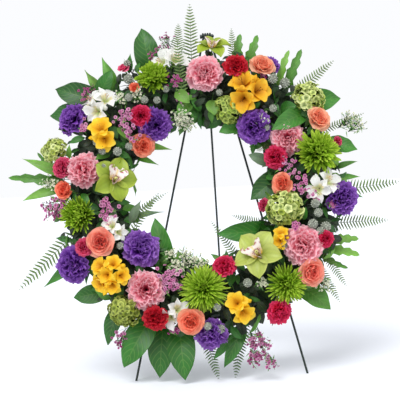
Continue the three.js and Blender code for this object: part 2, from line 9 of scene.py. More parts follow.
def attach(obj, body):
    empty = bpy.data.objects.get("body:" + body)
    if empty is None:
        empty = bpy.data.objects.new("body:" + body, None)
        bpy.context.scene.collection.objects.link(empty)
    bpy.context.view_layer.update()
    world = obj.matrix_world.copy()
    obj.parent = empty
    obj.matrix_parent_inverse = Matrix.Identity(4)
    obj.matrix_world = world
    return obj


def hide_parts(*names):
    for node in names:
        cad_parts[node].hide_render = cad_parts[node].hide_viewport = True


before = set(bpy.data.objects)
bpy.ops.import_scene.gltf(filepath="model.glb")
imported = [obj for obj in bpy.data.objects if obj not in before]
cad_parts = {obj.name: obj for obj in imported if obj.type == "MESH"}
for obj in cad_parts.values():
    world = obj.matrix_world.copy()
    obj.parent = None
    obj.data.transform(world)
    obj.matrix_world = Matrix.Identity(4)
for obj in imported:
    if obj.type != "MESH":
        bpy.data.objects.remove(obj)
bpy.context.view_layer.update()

MM = 0.001
WREATH = "wreath_and_front_frame"
TAU = 2 * math.pi


# ---- Gathering a piece's faces ----
class Sheaf:
    """Sheets of faces gathered into one mesh, each with a colour at every corner point."""

    def __init__(self):
        self.points = []
        self.colours = []
        self.quads = []
        self.materials = []
        self.uvs = []
        self.count = 0

    def add(self, grid, colour, material=0, closed=False, uv=None):
        """A grid of points (along, across, 3); closed joins its last column to its first."""
        along, across = grid.shape[:2]
        if uv is None:
            uv = np.meshgrid(np.linspace(-1, 1, across), np.linspace(0, 1, along))
        self.uvs.append(np.stack([uv[0].ravel(), uv[1].ravel()], axis=-1))
        colour = np.broadcast_to(np.asarray(colour, float), grid.shape)
        self.points.append(grid.reshape(-1, 3))
        self.colours.append(colour.reshape(-1, 3))
        index = np.arange(along * across).reshape(along, across) + self.count
        if closed:
            index = np.concatenate([index, index[:, :1]], axis=1)
        corners = [index[:-1, :-1], index[:-1, 1:], index[1:, 1:], index[1:, :-1]]
        quads = np.stack(corners, axis=-1).reshape(-1, 4)
        self.quads.append(quads)
        self.materials.append(np.full(len(quads), material))
        self.count += along * across

    def merge(self, other, place=None):
        """Takes in another sheaf's faces, moved by a 4x4 place."""
        if not other.points:
            return
        points = np.concatenate(other.points)
        if place is not None:
            points = moved(points, place)
        self.points.append(points)
        self.colours.append(np.concatenate(other.colours))
        self.quads.append(np.concatenate(other.quads) + self.count)
        self.materials.append(np.concatenate(other.materials))
        self.uvs.append(np.concatenate(other.uvs))
        self.count += len(points)

    def piece(self, name, materials):
        """The Blender object that holds all the gathered faces."""
        points = np.concatenate(self.points).astype(np.float32)
        quads = np.concatenate(self.quads).astype(np.int32)
        slots = np.concatenate(self.materials).astype(np.int32)
        colours = np.concatenate(self.colours)
        mesh = bpy.data.meshes.new(name)
        mesh.vertices.add(len(points))
        mesh.vertices.foreach_set("co", points.ravel())
        mesh.loops.add(quads.size)
        mesh.loops.foreach_set("vertex_index", quads.ravel())
        mesh.polygons.add(len(quads))
        mesh.polygons.foreach_set("loop_start", np.arange(len(quads), dtype=np.int32) * 4)
        for material in materials:
            mesh.materials.append(material)
        mesh.polygons.foreach_set("material_index", slots)
        mesh.update(calc_edges=True)
        layer = mesh.uv_layers.new(name="across_along")
        layer.data.foreach_set("uv", np.concatenate(self.uvs)[quads.ravel()].astype(np.float32).ravel())
        mesh.polygons.foreach_set("use_smooth", np.ones(len(mesh.polygons), dtype=bool))
        tint = mesh.color_attributes.new("tint", "FLOAT_COLOR", "POINT")
        rgba = np.concatenate([colours, np.ones((len(colours), 1))], axis=1)
        tint.data.foreach_set("color", rgba.astype(np.float32).ravel())
        obj = bpy.data.objects.new(name, mesh)
        bpy.context.scene.collection.objects.link(obj)
        return obj


def moved(points, place):
    place = np.asarray(place)
    return points @ place[:3, :3].T + place[:3, 3]


def smooth(value):
    value = np.clip(value, 0, 1)
    return value * value * (3 - 2 * value)


def mixed(first, second, share):
    """Two colours mixed by an array of shares."""
    share = np.asarray(share)[..., None]
    return np.asarray(first) * (1 - share) + np.asarray(second) * share


def linear(red, green, blue):
    """A colour given as 0 to 255 screen values, as linear light."""
    screen = np.array([red, green, blue]) / 255
    return np.where(screen <= 0.04045, screen / 12.92, ((screen + 0.055) / 1.055) ** 2.4)


# ---- Petals and tubes ----
def petal(length, outline, rise, droop, across=7, along=6, end=0.25, cup=0.0, ruffle=0.0, waves=2.0,
          phase=0.0, notch=0.0, teeth=9, twist=0.0):
    """A petal that starts at the origin, goes out along +y and bends from rise to droop, in degrees.

    outline is the half width at even steps from base to end, in shares of the length. cup bends
    the sides up, ruffle waves the end, notch cuts teeth into the edge. Returns points, u and v."""
    rise, droop = math.radians(rise), math.radians(droop)
    u, v = np.meshgrid(np.linspace(-1, 1, across), np.linspace(0, 1, along))
    half = np.interp(v, np.linspace(0, 1, len(outline)), outline) * length
    reach = v * (1 - end * u * u)
    if notch:
        saw = np.abs(((u + 1) * teeth / 2 + phase) % 1 - 0.5) * 2 - 0.5
        reach = reach + notch * v ** 4 * saw
    bend = droop - rise if abs(droop - rise) > 1e-3 else 1e-3
    angle = rise + bend * reach
    out = length * (np.sin(angle) - math.sin(rise)) / bend
    up = length * (math.cos(rise) - np.cos(angle)) / bend
    lift = cup * half * u * u + ruffle * length * v ** 2 * np.sin(waves * np.pi * u + phase)
    turn = twist * v
    side = half * u * np.cos(turn)
    lift = lift + half * u * np.sin(turn)
    grid = np.stack([side, out - lift * np.sin(angle), up + lift * np.cos(angle)], axis=-1)
    return grid, u, v


def spun(grid, azimuth, radius=0.0, height=0.0):
    """A grid turned about the z axis so that its +y points at an azimuth, from a ring of a radius."""
    x, y, z = grid[..., 0], grid[..., 1] + radius, grid[..., 2] + height
    c, s = math.cos(azimuth), math.sin(azimuth)
    return np.stack([y * c - x * s, y * s + x * c, z], axis=-1)


def tube(path, radii, sides=6):
    """A tube along a list of points, with a radius at each; closed round, open at the ends."""
    path = np.asarray(path, float)
    radii = np.broadcast_to(np.asarray(radii, float), (len(path),))
    along = np.gradient(path, axis=0)
    along /= np.linalg.norm(along, axis=1, keepdims=True) + 1e-12
    guide = np.array([0.0, 0.0, 1.0]) if abs(along[0][2]) < 0.9 else np.array([1.0, 0.0, 0.0])
    first = np.cross(along, guide)
    first /= np.linalg.norm(first, axis=1, keepdims=True) + 1e-12
    second = np.cross(along, first)
    angle = np.linspace(0, TAU, sides, endpoint=False)
    cosine, sine = np.cos(angle)[None, :, None], np.sin(angle)[None, :, None]
    ring = cosine * first[:, None, :] + sine * second[:, None, :]
    return path[:, None, :] + radii[:, None, None] * ring


def turned(profile, sides=12):
    """A turned form about +z from (radius, height) pairs."""
    angle = np.linspace(0, TAU, sides, endpoint=False)
    radius = np.array([p[0] for p in profile])[:, None]
    height = np.array([p[1] for p in profile])[:, None]
    return np.stack([radius * np.cos(angle), radius * np.sin(angle), height + 0 * angle], axis=-1)


def bent(start, middle, end, steps=6):
    """Points on a bent line through a middle control point."""
    t = np.linspace(0, 1, steps)[:, None]
    start, middle, end = (np.asarray(p, float) for p in (start, middle, end))
    return (1 - t) ** 2 * start + 2 * t * (1 - t) * middle + t * t * end


# ---- Blossoms: each fills a sheaf about its head's centre, facing +z, with petals 0 and green 1 ----
STEM_GREEN = linear(92, 134, 58)
DEEP_GREEN = linear(38, 72, 30)
GLOBE_FLORETS = 88
GOLDEN_ANGLE = 2.39996
SPIRAL = 2.4


def colours_of(style):
    return style["base"], style["edge"], style["shade"]


def calyx(sheaf, width, low, high, bulge):
    """The green cup under a head, in shares of its width."""
    heights = np.linspace(low, high, 6)
    radii = [0.02, 0.5 * bulge, 0.92 * bulge, bulge, 0.9 * bulge, 0.96 * bulge]
    profile = [(radius * width, height * width) for radius, height in zip(radii, heights)]
    sheaf.add(turned(profile, 10), STEM_GREEN, material=1, closed=True)


def carnation(sheaf, width, rng, style):
    """Ruffled, pinked petals that burst from a calyx; outer ones lie flat and inner ones crowd up."""
    base, edge, shade = colours_of(style)
    loose = style.get("loose", 0.0)
    whorls = style.get("whorls", 7)
    calyx(sheaf, width, -0.47, -0.16, 0.15)
    for whorl in range(whorls):
        inner = whorl / (whorls - 1)
        count = round(9 - 3 * inner)
        for i in range(count):
            azimuth = TAU * (i + rng.uniform(-0.2, 0.2)) / count + whorl * SPIRAL
            rise = 28 + 50 * inner + rng.normal(0, 6)
            droop = -22 + 96 * inner + rng.normal(0, 9)
            uneven = rng.uniform(-0.03, 0.02) + loose * rng.uniform(-0.05, 0.03)
            length = width * (0.55 - 0.07 * inner + uneven)
            outline = [0.05, 0.09, 0.2, 0.34, 0.43, 0.4]
            grid, u, v = petal(length, outline, rise, droop, across=11, along=7, end=0.16,
                               cup=rng.uniform(0.1, 0.5), ruffle=rng.uniform(0.07, 0.12) + 0.03 * inner,
                               waves=rng.uniform(1.6, 3.0), phase=rng.uniform(0, TAU), notch=0.09, teeth=7,
                               twist=rng.normal(0, 0.35 + loose))
            # Painted shade: each petal darkens to the shade colour towards its foot, deep in the flower.
            colour = mixed(shade, base, smooth((v - 0.25) / 0.45)) * rng.uniform(0.82, 1.12)
            colour = mixed(colour, edge, smooth((v - 0.72) / 0.28) * style.get("edging", 0.7))
            sheaf.add(spun(grid, azimuth, 0.02 * width, -0.17 * width), colour, uv=(u, v))


def rose(sheaf, width, rng, style):
    """Broad petals wound about a tight heart, the outer ones rolling back at the rim."""
    heart, outer, shade = colours_of(style)
    count = style.get("petals", 30)
    open_ = style.get("open", 1.0)
    calyx(sheaf, width, -0.36, -0.14, 0.2)
    for i in range(count):
        out = i / (count - 1)
        azimuth = i * SPIRAL + rng.uniform(-0.25, 0.25)
        rise = 92 - 60 * out ** 1.4 * open_ + rng.normal(0, 3)
        droop = 100 - 108 * out ** 1.5 * open_ + rng.normal(0, 8 * out + 2)
        length = width * (0.36 + 0.17 * out + rng.uniform(-0.015, 0.015))
        outline = [0.14, 0.4, 0.62, 0.74, 0.76, 0.66, 0.44]
        radius = width * (0.015 + 0.075 * out)
        wrap = 0.95 - 0.72 * out ** 0.8
        grid, u, v = petal(length, outline, rise, droop, across=11, along=9, end=0.14, cup=wrap,
                           ruffle=0.02 + 0.035 * out, waves=rng.uniform(1.2, 2.4), phase=rng.uniform(0, TAU),
                           twist=rng.normal(0, 0.12))
        pale = smooth(out * 0.9 + 0.5 * (v - 0.55))
        # Painted shade: each petal darkens to the shade colour towards its foot, inside the rose.
        colour = mixed(mixed(shade, heart, smooth(v * 1.3)), outer, pale) * rng.uniform(0.9, 1.08)
        sheaf.add(spun(grid, azimuth, radius, -0.16 * width), colour, uv=(u, v))
    for i in range(5):
        grid, u, v = petal(0.2 * width, [0.14, 0.16, 0.12, 0.05], 5, -50, 3, 4)
        sheaf.add(spun(grid, TAU * i / 5, 0.12 * width, -0.2 * width), STEM_GREEN, material=1)


def mum(sheaf, width, rng, style):
    """Rows of long narrow petals; the rows shorten and rise towards the heart."""
    base, edge, shade = colours_of(style)
    rows = style.get("rows", 10)
    calyx(sheaf, width, -0.24, -0.04, 0.13)
    for row in range(rows):
        inner = row / (rows - 1)
        count = round(style["count"] * (1 - 0.45 * inner))
        for i in range(count):
            azimuth = TAU * (i + rng.uniform(-0.35, 0.35)) / count + row * 1.7
            rise = style["low"] + (88 - style["low"]) * inner + rng.normal(0, 7)
            tip = style["tip_low"] + (style["tip_high"] - style["tip_low"]) * inner
            droop = tip + rng.normal(0, style.get("unruly", 12))
            length = width * (0.49 - 0.27 * inner ** 1.3) * rng.uniform(0.84, 1.04)
            thick = style["thick"] * width / length * rng.uniform(0.85, 1.15)
            outline = thick * np.array([0.6, 0.8, 1.0, 1.15, 1.3, 1.2, 0.7])
            grid, u, v = petal(length, outline, rise, droop, across=3, along=8, end=0.05,
                               cup=1.2, twist=rng.normal(0, 0.5))
            # Painted shade: each petal darkens to the shade colour towards its foot, in the crowded heart of
            # the mum.
            colour = mixed(shade, base, smooth(v * 1.5 - 0.25)) * rng.uniform(0.8, 1.15)
            colour = mixed(colour, edge, smooth((v - 0.5) / 0.5) * rng.uniform(0.4, 0.95))
            sheaf.add(spun(grid, azimuth, 0.03 * width, (-0.05 + 0.09 * inner) * width), colour, uv=(u, v))


def floret(sheaf, place, size, rng, colour, heart, outline=(0.22, 0.46, 0.62, 0.56, 0.22)):
    """A small five-petalled flower facing the place's +z."""
    spin = rng.uniform(0, TAU)
    for i in range(5):
        grid, u, v = petal(0.5 * size, outline, 16 + rng.normal(0, 6), -12, across=4, along=4, end=0.1,
                           cup=rng.uniform(0.05, 0.5))
        shade = mixed(heart, colour, smooth(v * 2.0 - 0.15)) * rng.uniform(0.88, 1.1)
        sheaf.add(moved(spun(grid, spin + TAU * i / 5), place), shade, uv=(u, v))


def facing(centre, direction, spin=0.0):
    """A 4x4 place at a centre whose +z looks along a direction."""
    turn = Vector(direction).to_track_quat("Z", "Y").to_matrix().to_4x4()
    return np.array(Matrix.Translation(Vector(centre)) @ turn @ Matrix.Rotation(spin, 4, "Z"))


def globe(sheaf, width, rng, style):
    """A snowball head: small florets crowded over an uneven dome, with painted shade on its dark core, its
    stalks, the florets' hearts and the florets that sit low.
    """
    radius = 0.36 * width
    stretch = np.array([1.0, style.get("long", 1.0), 0.82])
    profile = [(radius * 0.72 * math.cos(a), radius * 0.6 * math.sin(a)) for a in np.linspace(-1.5, 1.57, 8)]
    # The core is a dark sheet under the florets: painted shade in the gaps between them.
    sheaf.add(turned(profile, 14), style["shade"] * 0.45, closed=True)
    lumps = rng.normal(0, 1, (6, 3))
    lumps /= np.linalg.norm(lumps, axis=1, keepdims=True)
    for i in range(GLOBE_FLORETS):
        height = 1 - 1.45 * (i + 0.5) / GLOBE_FLORETS
        ring = math.sqrt(max(0.0, 1 - height * height))
        azimuth = i * GOLDEN_ANGLE + rng.uniform(-0.3, 0.3)
        out = np.array([ring * math.cos(azimuth), ring * math.sin(azimuth), height])
        swell = 1 + 0.12 * (lumps @ out).max() + rng.uniform(-0.16, 0.14)
        centre = out * radius * stretch * swell
        tilt = out + rng.normal(0, 0.32, 3)
        # Painted light and shade: florets that sit low on the dome are darker and less pale, raised ones
        # lighter and paler.
        share = rng.uniform(0, 1) * smooth((swell - 0.9) / 0.3 + 0.3)
        colour = mixed(style["base"], style["edge"], share) * (0.72 + 0.4 * smooth((swell - 0.86) / 0.3))
        size = 0.215 * width * rng.uniform(0.8, 1.15)
        # The floret hearts take the shade colour: painted shade at each floret's middle.
        floret(sheaf, facing(centre, tilt), size, rng, colour, style["shade"])
        # The stalks take a darkened shade colour: painted shade on real stalks under the florets.
        stalk = tube([centre * 0.5, centre], [0.008 * width, 0.008 * width], 3)
        sheaf.add(stalk, style["shade"] * 0.8, material=1, closed=True)


def stamens(sheaf, place, length, count, rng, colour, spread):
    """Thin filaments with small anthers at their ends."""
    for i in range(count):
        azimuth = TAU * i / count + rng.uniform(-0.3, 0.3)
        lean = spread * rng.uniform(0.6, 1.2)
        end = np.array([math.cos(azimuth) * lean, math.sin(azimuth) * lean, 1.0]) * length
        path = bent((0, 0, 0), end * (0.3, 0.3, 0.7), end, 4)
        sheaf.add(moved(tube(path, 0.02 * length, 3), place), colour, closed=True)
        anther = tube([end, end + (0, 0, 0.12 * length)], [0.06 * length, 0.045 * length], 4)
        sheaf.add(moved(anther, place), colour * (0.9, 0.7, 0.4), closed=True)


def bud(sheaf, base, tip, radius, colour):
    """A closed bud between two points."""
    base, tip = np.asarray(base, float), np.asarray(tip, float)
    shares = np.linspace(0, 1, 7)[:, None]
    radii = radius * np.array([0.25, 0.7, 0.95, 1.0, 0.85, 0.5, 0.05])
    tint = mixed(colour * (0.6, 0.8, 0.5), colour, shares ** 0.5 * np.ones((7, 7)))
    sheaf.add(tube(base + (tip - base) * shares, radii, 7), tint, closed=True)


def funnel(sheaf, place, size, rng, style):
    """A freesia: six rounded petals in a cup on a narrow throat."""
    base, edge, shade = colours_of(style)
    for i in range(6):
        outer = i % 2
        grid, u, v = petal(0.72 * size, [0.07, 0.13, 0.24, 0.33, 0.36, 0.31, 0.16], 82 - 6 * outer,
                           6 - 16 * outer + rng.normal(0, 7), across=7, along=9, end=0.1,
                           cup=0.34, ruffle=0.02, waves=1.3, phase=rng.uniform(0, TAU))
        # Painted shade: each petal darkens to the shade colour towards the throat.
        colour = mixed(shade, base, smooth(v * 1.7 - 0.35)) * rng.uniform(0.94, 1.04)
        colour = mixed(colour, edge, smooth((v - 0.7) / 0.3) * 0.6)
        if style.get("lined"):
            lines = (np.abs(u) < 0.4) & (v > 0.35) & (v < 0.75) & (outer == 1)
            colour = np.where(lines[..., None], colour * (0.75, 0.45, 0.3), colour)
        sheaf.add(moved(spun(grid, TAU * i / 6, 0.02 * size, -0.42 * size), place), colour, uv=(u, v))
    throat = place @ facing((0, 0, -0.2 * size), (0, 0, 1))
    stamens(sheaf, throat, 0.3 * size, 3, rng, style["stamen"], 0.2)


def lily(sheaf, place, size, rng, style):
    """An alstroemeria: three broad petals and three narrow, flecked ones, flaring from a throat."""
    base, edge, shade = colours_of(style)
    for i in range(6):
        narrow = i % 2
        outline = [0.05, 0.08, 0.15, 0.22, 0.2, 0.04] if narrow else [0.06, 0.1, 0.18, 0.28, 0.29, 0.06]
        reach = rng.uniform(0.7, 0.82) * size
        grid, u, v = petal(reach, outline, 68, -6 + rng.normal(0, 13), across=7, along=10, end=0.06,
                           cup=0.45, ruffle=0.03, waves=1.3, phase=rng.uniform(0, TAU),
                           twist=rng.normal(0, 0.3))
        # Towards the throat each petal turns to the shade colour: partly the flower's own greenish throat
        # and partly painted shade.
        colour = mixed(shade, base, smooth(v * 3.2 - 0.6)) * rng.uniform(0.92, 1.03)
        if narrow:
            colour = mixed(colour, style["blotch"], smooth(1 - np.abs(v - 0.42) / 0.18) * 0.5)
            flecks = (np.sin(17 * v + 5 * u) * np.sin(23 * u + 9 * v) > 0.6) & (v > 0.3) & (v < 0.62)
            colour = np.where(flecks[..., None], style["fleck"], colour)
        else:
            colour = mixed(colour, edge, smooth((v - 0.86) / 0.14) * smooth(1 - np.abs(u) * 2) * 0.6)
        around = spun(grid, TAU * i / 6 + rng.normal(0, 0.1), 0.02 * size, -0.34 * size)
        sheaf.add(moved(around, place), colour, uv=(u, v))
    throat = place @ facing((0, 0, -0.2 * size), (0.2, 0, 1))
    stamens(sheaf, throat, 0.36 * size, 5, rng, style["stamen"], 0.25)


def cluster(sheaf, width, rng, style):
    """Several flowers and buds on short stalks from one point."""
    base = np.array([0, 0, -0.4 * width])
    for azimuth, spread, height, share in style["places"]:
        centre = np.array([math.cos(azimuth) * spread, math.sin(azimuth) * spread, height]) * width
        out = centre - base * 1.1
        place = facing(centre, out, rng.uniform(0, TAU))
        size = share * width
        style["flower"](sheaf, place, size, rng, style)
        back = centre - out / np.linalg.norm(out) * 0.38 * size
        path = bent(base, (base + back) / 2 + (0, 0, -0.02 * width), back, 5)
        sheaf.add(tube(path, np.linspace(0.02, 0.045, 5) * width, 7), STEM_GREEN, material=1, closed=True)
    for azimuth, spread, height in style.get("buds", []):
        tip = np.array([math.cos(azimuth) * spread, math.sin(azimuth) * spread, height]) * width
        root = base + (tip - base) * 0.55
        stalk = tube(bent(base, (base + root) / 2, root, 4), 0.014 * width, 5)
        sheaf.add(stalk, STEM_GREEN, material=1, closed=True)
        bud(sheaf, root, tip, 0.07 * width, style["base"])


def orchid(sheaf, width, rng, style):
    """A cymbidium: five broad veined tepals, a lobed lip with crimson spots, and a column."""
    base, edge, shade = colours_of(style)
    for i in range(5):
        azimuth = math.pi / 2 + TAU * i / 5 + rng.normal(0, 0.04)
        grid, u, v = petal(0.54 * width, [0.1, 0.24, 0.37, 0.42, 0.38, 0.27, 0.06], 34,
                           -26 + rng.normal(0, 9), across=11, along=12, end=0.05,
                           cup=0.34 + rng.uniform(-0.1, 0.2), ruffle=0.02, waves=1.2,
                           phase=rng.uniform(0, TAU), twist=rng.normal(0, 0.18))
        veins = 0.5 + 0.5 * np.cos(u * 5 * np.pi)
        # Painted shade: each tepal darkens to the shade colour towards its foot, at the middle of the
        # flower.
        colour = mixed(shade, base, smooth(v * 1.6)) * rng.uniform(0.88, 1.08)
        colour = mixed(colour, edge, 0.45 * smooth(np.abs(u) * 1.4 - 0.4))
        colour = colour * (0.9 + 0.1 * veins[..., None])
        sheaf.add(spun(grid, azimuth, 0.02 * width, -0.08 * width), colour, uv=(u, v))
    lip_root = facing((0, -0.02 * width, -0.05 * width), (0, 0, 1))
    grid, u, v = petal(0.36 * width, [0.22, 0.34, 0.4, 0.52, 0.66, 0.6, 0.3], 58, -52, across=13, along=13,
                       end=0.12, cup=0.5, ruffle=0.05, waves=2.2)
    spots = np.sin(9 * u + 2) * np.sin(15 * v + 4 * u * u) > 0.35
    spotted = spots & (v > 0.45) & (np.abs(u) > 0.18)
    keel = 0.7 * smooth(1 - np.abs(u) * 5) * (v < 0.8)
    colour = mixed(style["lip"], style["throat"], smooth(1 - v * 1.9) + keel)
    colour = np.where(spotted[..., None], style["spot"], colour)
    sheaf.add(moved(spun(grid, -math.pi / 2), lip_root), colour, uv=(u, v))
    for side in (-1, 1):
        grid, u, v = petal(0.2 * width, [0.4, 0.55, 0.6, 0.5, 0.2], 84, 60, 7, 7, end=0.1, cup=0.8)
        spots = np.sin(10 * u + 1) * np.sin(13 * v) > 0.3
        colour = np.where(spots[..., None], style["spot"], style["lip"])
        azimuth = -math.pi / 2 + side * 1.25
        sheaf.add(moved(spun(grid, azimuth, 0.035 * width), lip_root), colour, uv=(u, v))
    path = width * bent((0, 0.01, -0.05), (0, 0.03, 0.09), (0, -0.02, 0.16), 7)
    column = tube(path, width * np.array([0.035, 0.036, 0.036, 0.036, 0.038, 0.034, 0.012]), 9)
    sheaf.add(column, style["column"], closed=True)


# ---- The wreath itself ----
LEAN = math.radians(15)
RING = 245 * MM
FOAM_HALF = 38 * MM
BED_HALF_WIDTH = 110 * MM
BED_HALF_HEIGHT = 78 * MM
BED_CORE = 42 * MM
BED_LIMIT = 0.9
TILT_SHARE = 0.75
FOAM_TOP = 70 * MM
STEM_DEPTH = 22 * MM
STEM_ACROSS = 28 * MM


def wreath_place():
    """The wreath's own plane in the row frame: its middle is the tray's, and its back is z = 0."""
    turn = np.array(Matrix.Rotation(math.pi / 2 - LEAN, 3, "X"))
    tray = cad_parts["base_tray"].data
    points = np.array([v.co[:] for v in tray.vertices]) @ turn
    low, high = points.min(axis=0), points.max(axis=0)
    place = np.eye(4)
    place[:3, :3] = turn
    place[:3, 3] = turn @ np.array([(low[0] + high[0]) / 2, (low[1] + high[1]) / 2, low[2]])
    return place


PLACE = wreath_place()


def at_clock(clock, reach, height):
    """A point of the wreath's plane from a clock angle in degrees and a reach and height in mm."""
    angle = math.radians(clock)
    return np.array([reach * math.sin(angle), reach * math.cos(angle), height]) * MM


def seat_of(clock, reach, lift):
    """Where a blossom sits on the rounded bed, the way it faces, and where its stem is rooted."""
    across = float(np.clip((reach * MM - RING) / BED_HALF_WIDTH, -BED_LIMIT, BED_LIMIT))
    slope = math.asin(across)
    height = BED_CORE + BED_HALF_HEIGHT * math.cos(slope) + lift * MM
    tilt = TILT_SHARE * slope
    centre = at_clock(clock, reach, height / MM)
    out = at_clock(clock, math.sin(tilt), math.cos(tilt)) / MM
    root = at_clock(clock, (RING + STEM_ACROSS * across) / MM, (FOAM_TOP - STEM_DEPTH) / MM)
    return centre, out, root


def on_bed(clock, reach, lift=0.0):
    """A place on the bed's rounded surface, lifted off it by some millimetres."""
    centre, out, _ = seat_of(clock, reach, 0)
    return centre + out * lift * MM, out


def on_wreath(sheaf):
    """A sheaf made in the wreath's own plane, taken to the row frame."""
    whole = Sheaf()
    whole.merge(sheaf, PLACE)
    return whole


# ---- Materials: the tint at each point, with grain, veins and bump from nodes ----
def added(tree, kind, inputs=(), **settings):
    """A new shader node with its settings; inputs are numbers, colours or other nodes' outputs."""
    node = tree.nodes.new("ShaderNode" + kind)
    for name, value in settings.items():
        setattr(node, name, value)
    for name, value in dict(inputs).items():
        if isinstance(value, bpy.types.NodeSocket):
            tree.links.new(value, node.inputs[name])
        else:
            node.inputs[name].default_value = value
    return node


def new_material(name):
    """A new material with its node tree and its shader."""
    material = bpy.data.materials.new(name)
    material.use_nodes = True
    return material, material.node_tree, material.node_tree.nodes["Principled BSDF"]


def noise_over(tree, scale, detail):
    """Noise over the object's own coordinates."""
    where = added(tree, "TexCoord").outputs["Object"]
    return added(tree, "TexNoise", {"Scale": scale, "Detail": detail, "Vector": where}).outputs["Fac"]


def roughened(tree, grain, height, rough, spread, bump, depth):
    """Gives the shader a roughness that varies with the grain, and a bump; returns its normal."""
    shader = tree.nodes["Principled BSDF"]
    shine = {"Value": grain, "To Min": rough - spread, "To Max": min(1.0, rough + spread)}
    tree.links.new(added(tree, "MapRange", shine).outputs["Result"], shader.inputs["Roughness"])
    relief = {"Strength": bump, "Distance": depth, "Height": height}
    normal = added(tree, "Bump", relief).outputs["Normal"]
    tree.links.new(normal, shader.inputs["Normal"])
    return normal


def finish(name, rough, grain, scale, bump, thin=0.0, veins=0.0):
    """A surface that takes its colour from the piece's tint. thin lets light through; veins draws
    a leaf's ribs from its across_along map."""
    material, tree, shader = new_material(name)
    noise = noise_over(tree, scale, 4)
    tint = added(tree, "Attribute", attribute_name="tint").outputs["Color"]
    contrast = {"Value": noise, "From Min": 0.3, "From Max": 0.7, "To Min": 1 - grain, "To Max": 1 + grain}
    shade = added(tree, "MapRange", contrast).outputs["Result"]
    painted = added(tree, "VectorMath", operation="SCALE")
    tree.links.new(tint, painted.inputs[0])
    tree.links.new(shade, painted.inputs["Scale"])
    painted, height = painted.outputs["Vector"], noise
    if veins:
        painted, height = veined(tree, painted, noise, veins)
    tree.links.new(painted, shader.inputs["Base Color"])
    normal = roughened(tree, noise, height, rough, 0.1, bump, 0.6 * MM)
    if thin:
        glow = added(tree, "BsdfTranslucent", {"Color": painted, "Normal": normal})
        both = {0: thin, 1: shader.outputs["BSDF"], 2: glow.outputs["BSDF"]}
        mix = added(tree, "MixShader", both)
        tree.links.new(mix.outputs["Shader"], tree.nodes["Material Output"].inputs["Surface"])
    return material


def veined(tree, painted, grain, strength):
    """Ribs that run from the middle of a leaf to its edge, drawn from its across_along map."""
    def maths(kind, *values):
        return added(tree, "Math", enumerate(values), operation=kind).outputs["Value"]

    uv = added(tree, "UVMap", uv_map="across_along").outputs["UV"]
    parts = added(tree, "SeparateXYZ", {"Vector": uv}).outputs
    side = maths("ABSOLUTE", parts["X"])
    slant = maths("SUBTRACT", parts["Y"], maths("MULTIPLY", maths("POWER", side, 1.3), 0.26))
    rows = maths("MULTIPLY", maths("ADD", slant, maths("MULTIPLY", grain, 0.02)), 9.0)
    ribs = maths("SUBTRACT", 1.0, maths("MULTIPLY", maths("PINGPONG", rows, 0.5), 7.0))
    midrib = maths("SUBTRACT", 1.0, maths("MULTIPLY", side, 16.0))
    lines = maths("MAXIMUM", maths("MAXIMUM", midrib, 0.0), maths("MAXIMUM", ribs, 0.0))
    pale = added(tree, "Mix", data_type="RGBA", blend_type="MIX")
    tree.links.new(maths("MULTIPLY", lines, 0.26 * strength), pale.inputs["Factor"])
    tree.links.new(painted, pale.inputs["A"])
    pale.inputs["B"].default_value = (0.26, 0.42, 0.09, 1)
    lift = maths("MULTIPLY", lines, strength)
    return pale.outputs["Result"], maths("SUBTRACT", maths("MULTIPLY", grain, 0.5), lift)


PETAL = finish("petal_skin", 0.62, 0.07, 420, 0.35, thin=0.3)
WAXY = finish("waxy_petal", 0.42, 0.05, 300, 0.25, thin=0.25)
GREEN = finish("stem_skin", 0.5, 0.12, 240, 0.3)
LEAF = finish("leaf_skin", 0.44, 0.14, 90, 0.5, thin=0.15, veins=0.8)
BERRY = finish("brunia_skin", 0.75, 0.25, 900, 0.9)


def tone(*colours):
    """A blossom's base, edge and shade colours; the shade colour is painted shade for the depths of each
    head.
    """
    return dict(zip(("base", "edge", "shade"), (linear(*c) for c in colours)))


# ---- The blossoms: [clock, reach, width, lift, style] in mm, in the order of their numbers ----
PURPLE = tone((112, 40, 164), (176, 120, 216), (54, 10, 92))
VIOLET = tone((128, 54, 180), (188, 138, 222), (62, 14, 102)) | {"loose": 0.14}
SALMON = tone((248, 128, 152), (255, 216, 222), (222, 70, 104)) | {"edging": 0.95}
CRIMSON = tone((214, 10, 54), (242, 72, 132), (120, 0, 24)) | {"whorls": 6}
DEEP_RED = tone((196, 8, 34), (226, 44, 66), (96, 0, 14)) | {"whorls": 6}
HOT_PINK = tone((212, 24, 84), (244, 116, 156), (128, 4, 42)) | {"whorls": 6}
CORAL = tone((240, 92, 62), (252, 168, 136), (186, 44, 26))
PEACH = tone((244, 118, 84), (253, 194, 160), (202, 66, 38))
BUD_CORAL = tone((238, 80, 58), (248, 146, 114), (180, 40, 28)) | {"open": 0.72, "petals": 20}
PINK_ROSE = tone((242, 92, 86), (253, 176, 152), (196, 44, 44))
LIME = tone((148, 194, 26), (204, 230, 84), (66, 106, 6))
CHUNKY = LIME | {"low": -8, "tip_low": 30, "tip_high": 104, "thick": 0.026, "rows": 10, "count": 26}
FINE = LIME | {"low": 2, "tip_low": 66, "tip_high": 132, "thick": 0.017, "rows": 11, "count": 34}
SPIKY = LIME | {"low": -10, "tip_low": 6, "tip_high": 92, "thick": 0.015, "rows": 10, "count": 36}
SHAGGY = LIME | {"low": -6, "tip_low": 30, "tip_high": 100, "thick": 0.018, "unruly": 22, "count": 30}
ROUND_MUM = LIME | {"low": -6, "tip_low": 52, "tip_high": 120, "thick": 0.03, "rows": 11, "count": 26}
PALE_GREEN = tone((190, 206, 84), (236, 242, 176), (92, 122, 24))
DEEPER_GREEN = tone((160, 184, 66), (208, 222, 122), (72, 104, 20))
OLIVE = tone((150, 168, 52), (200, 210, 110), (70, 92, 16))
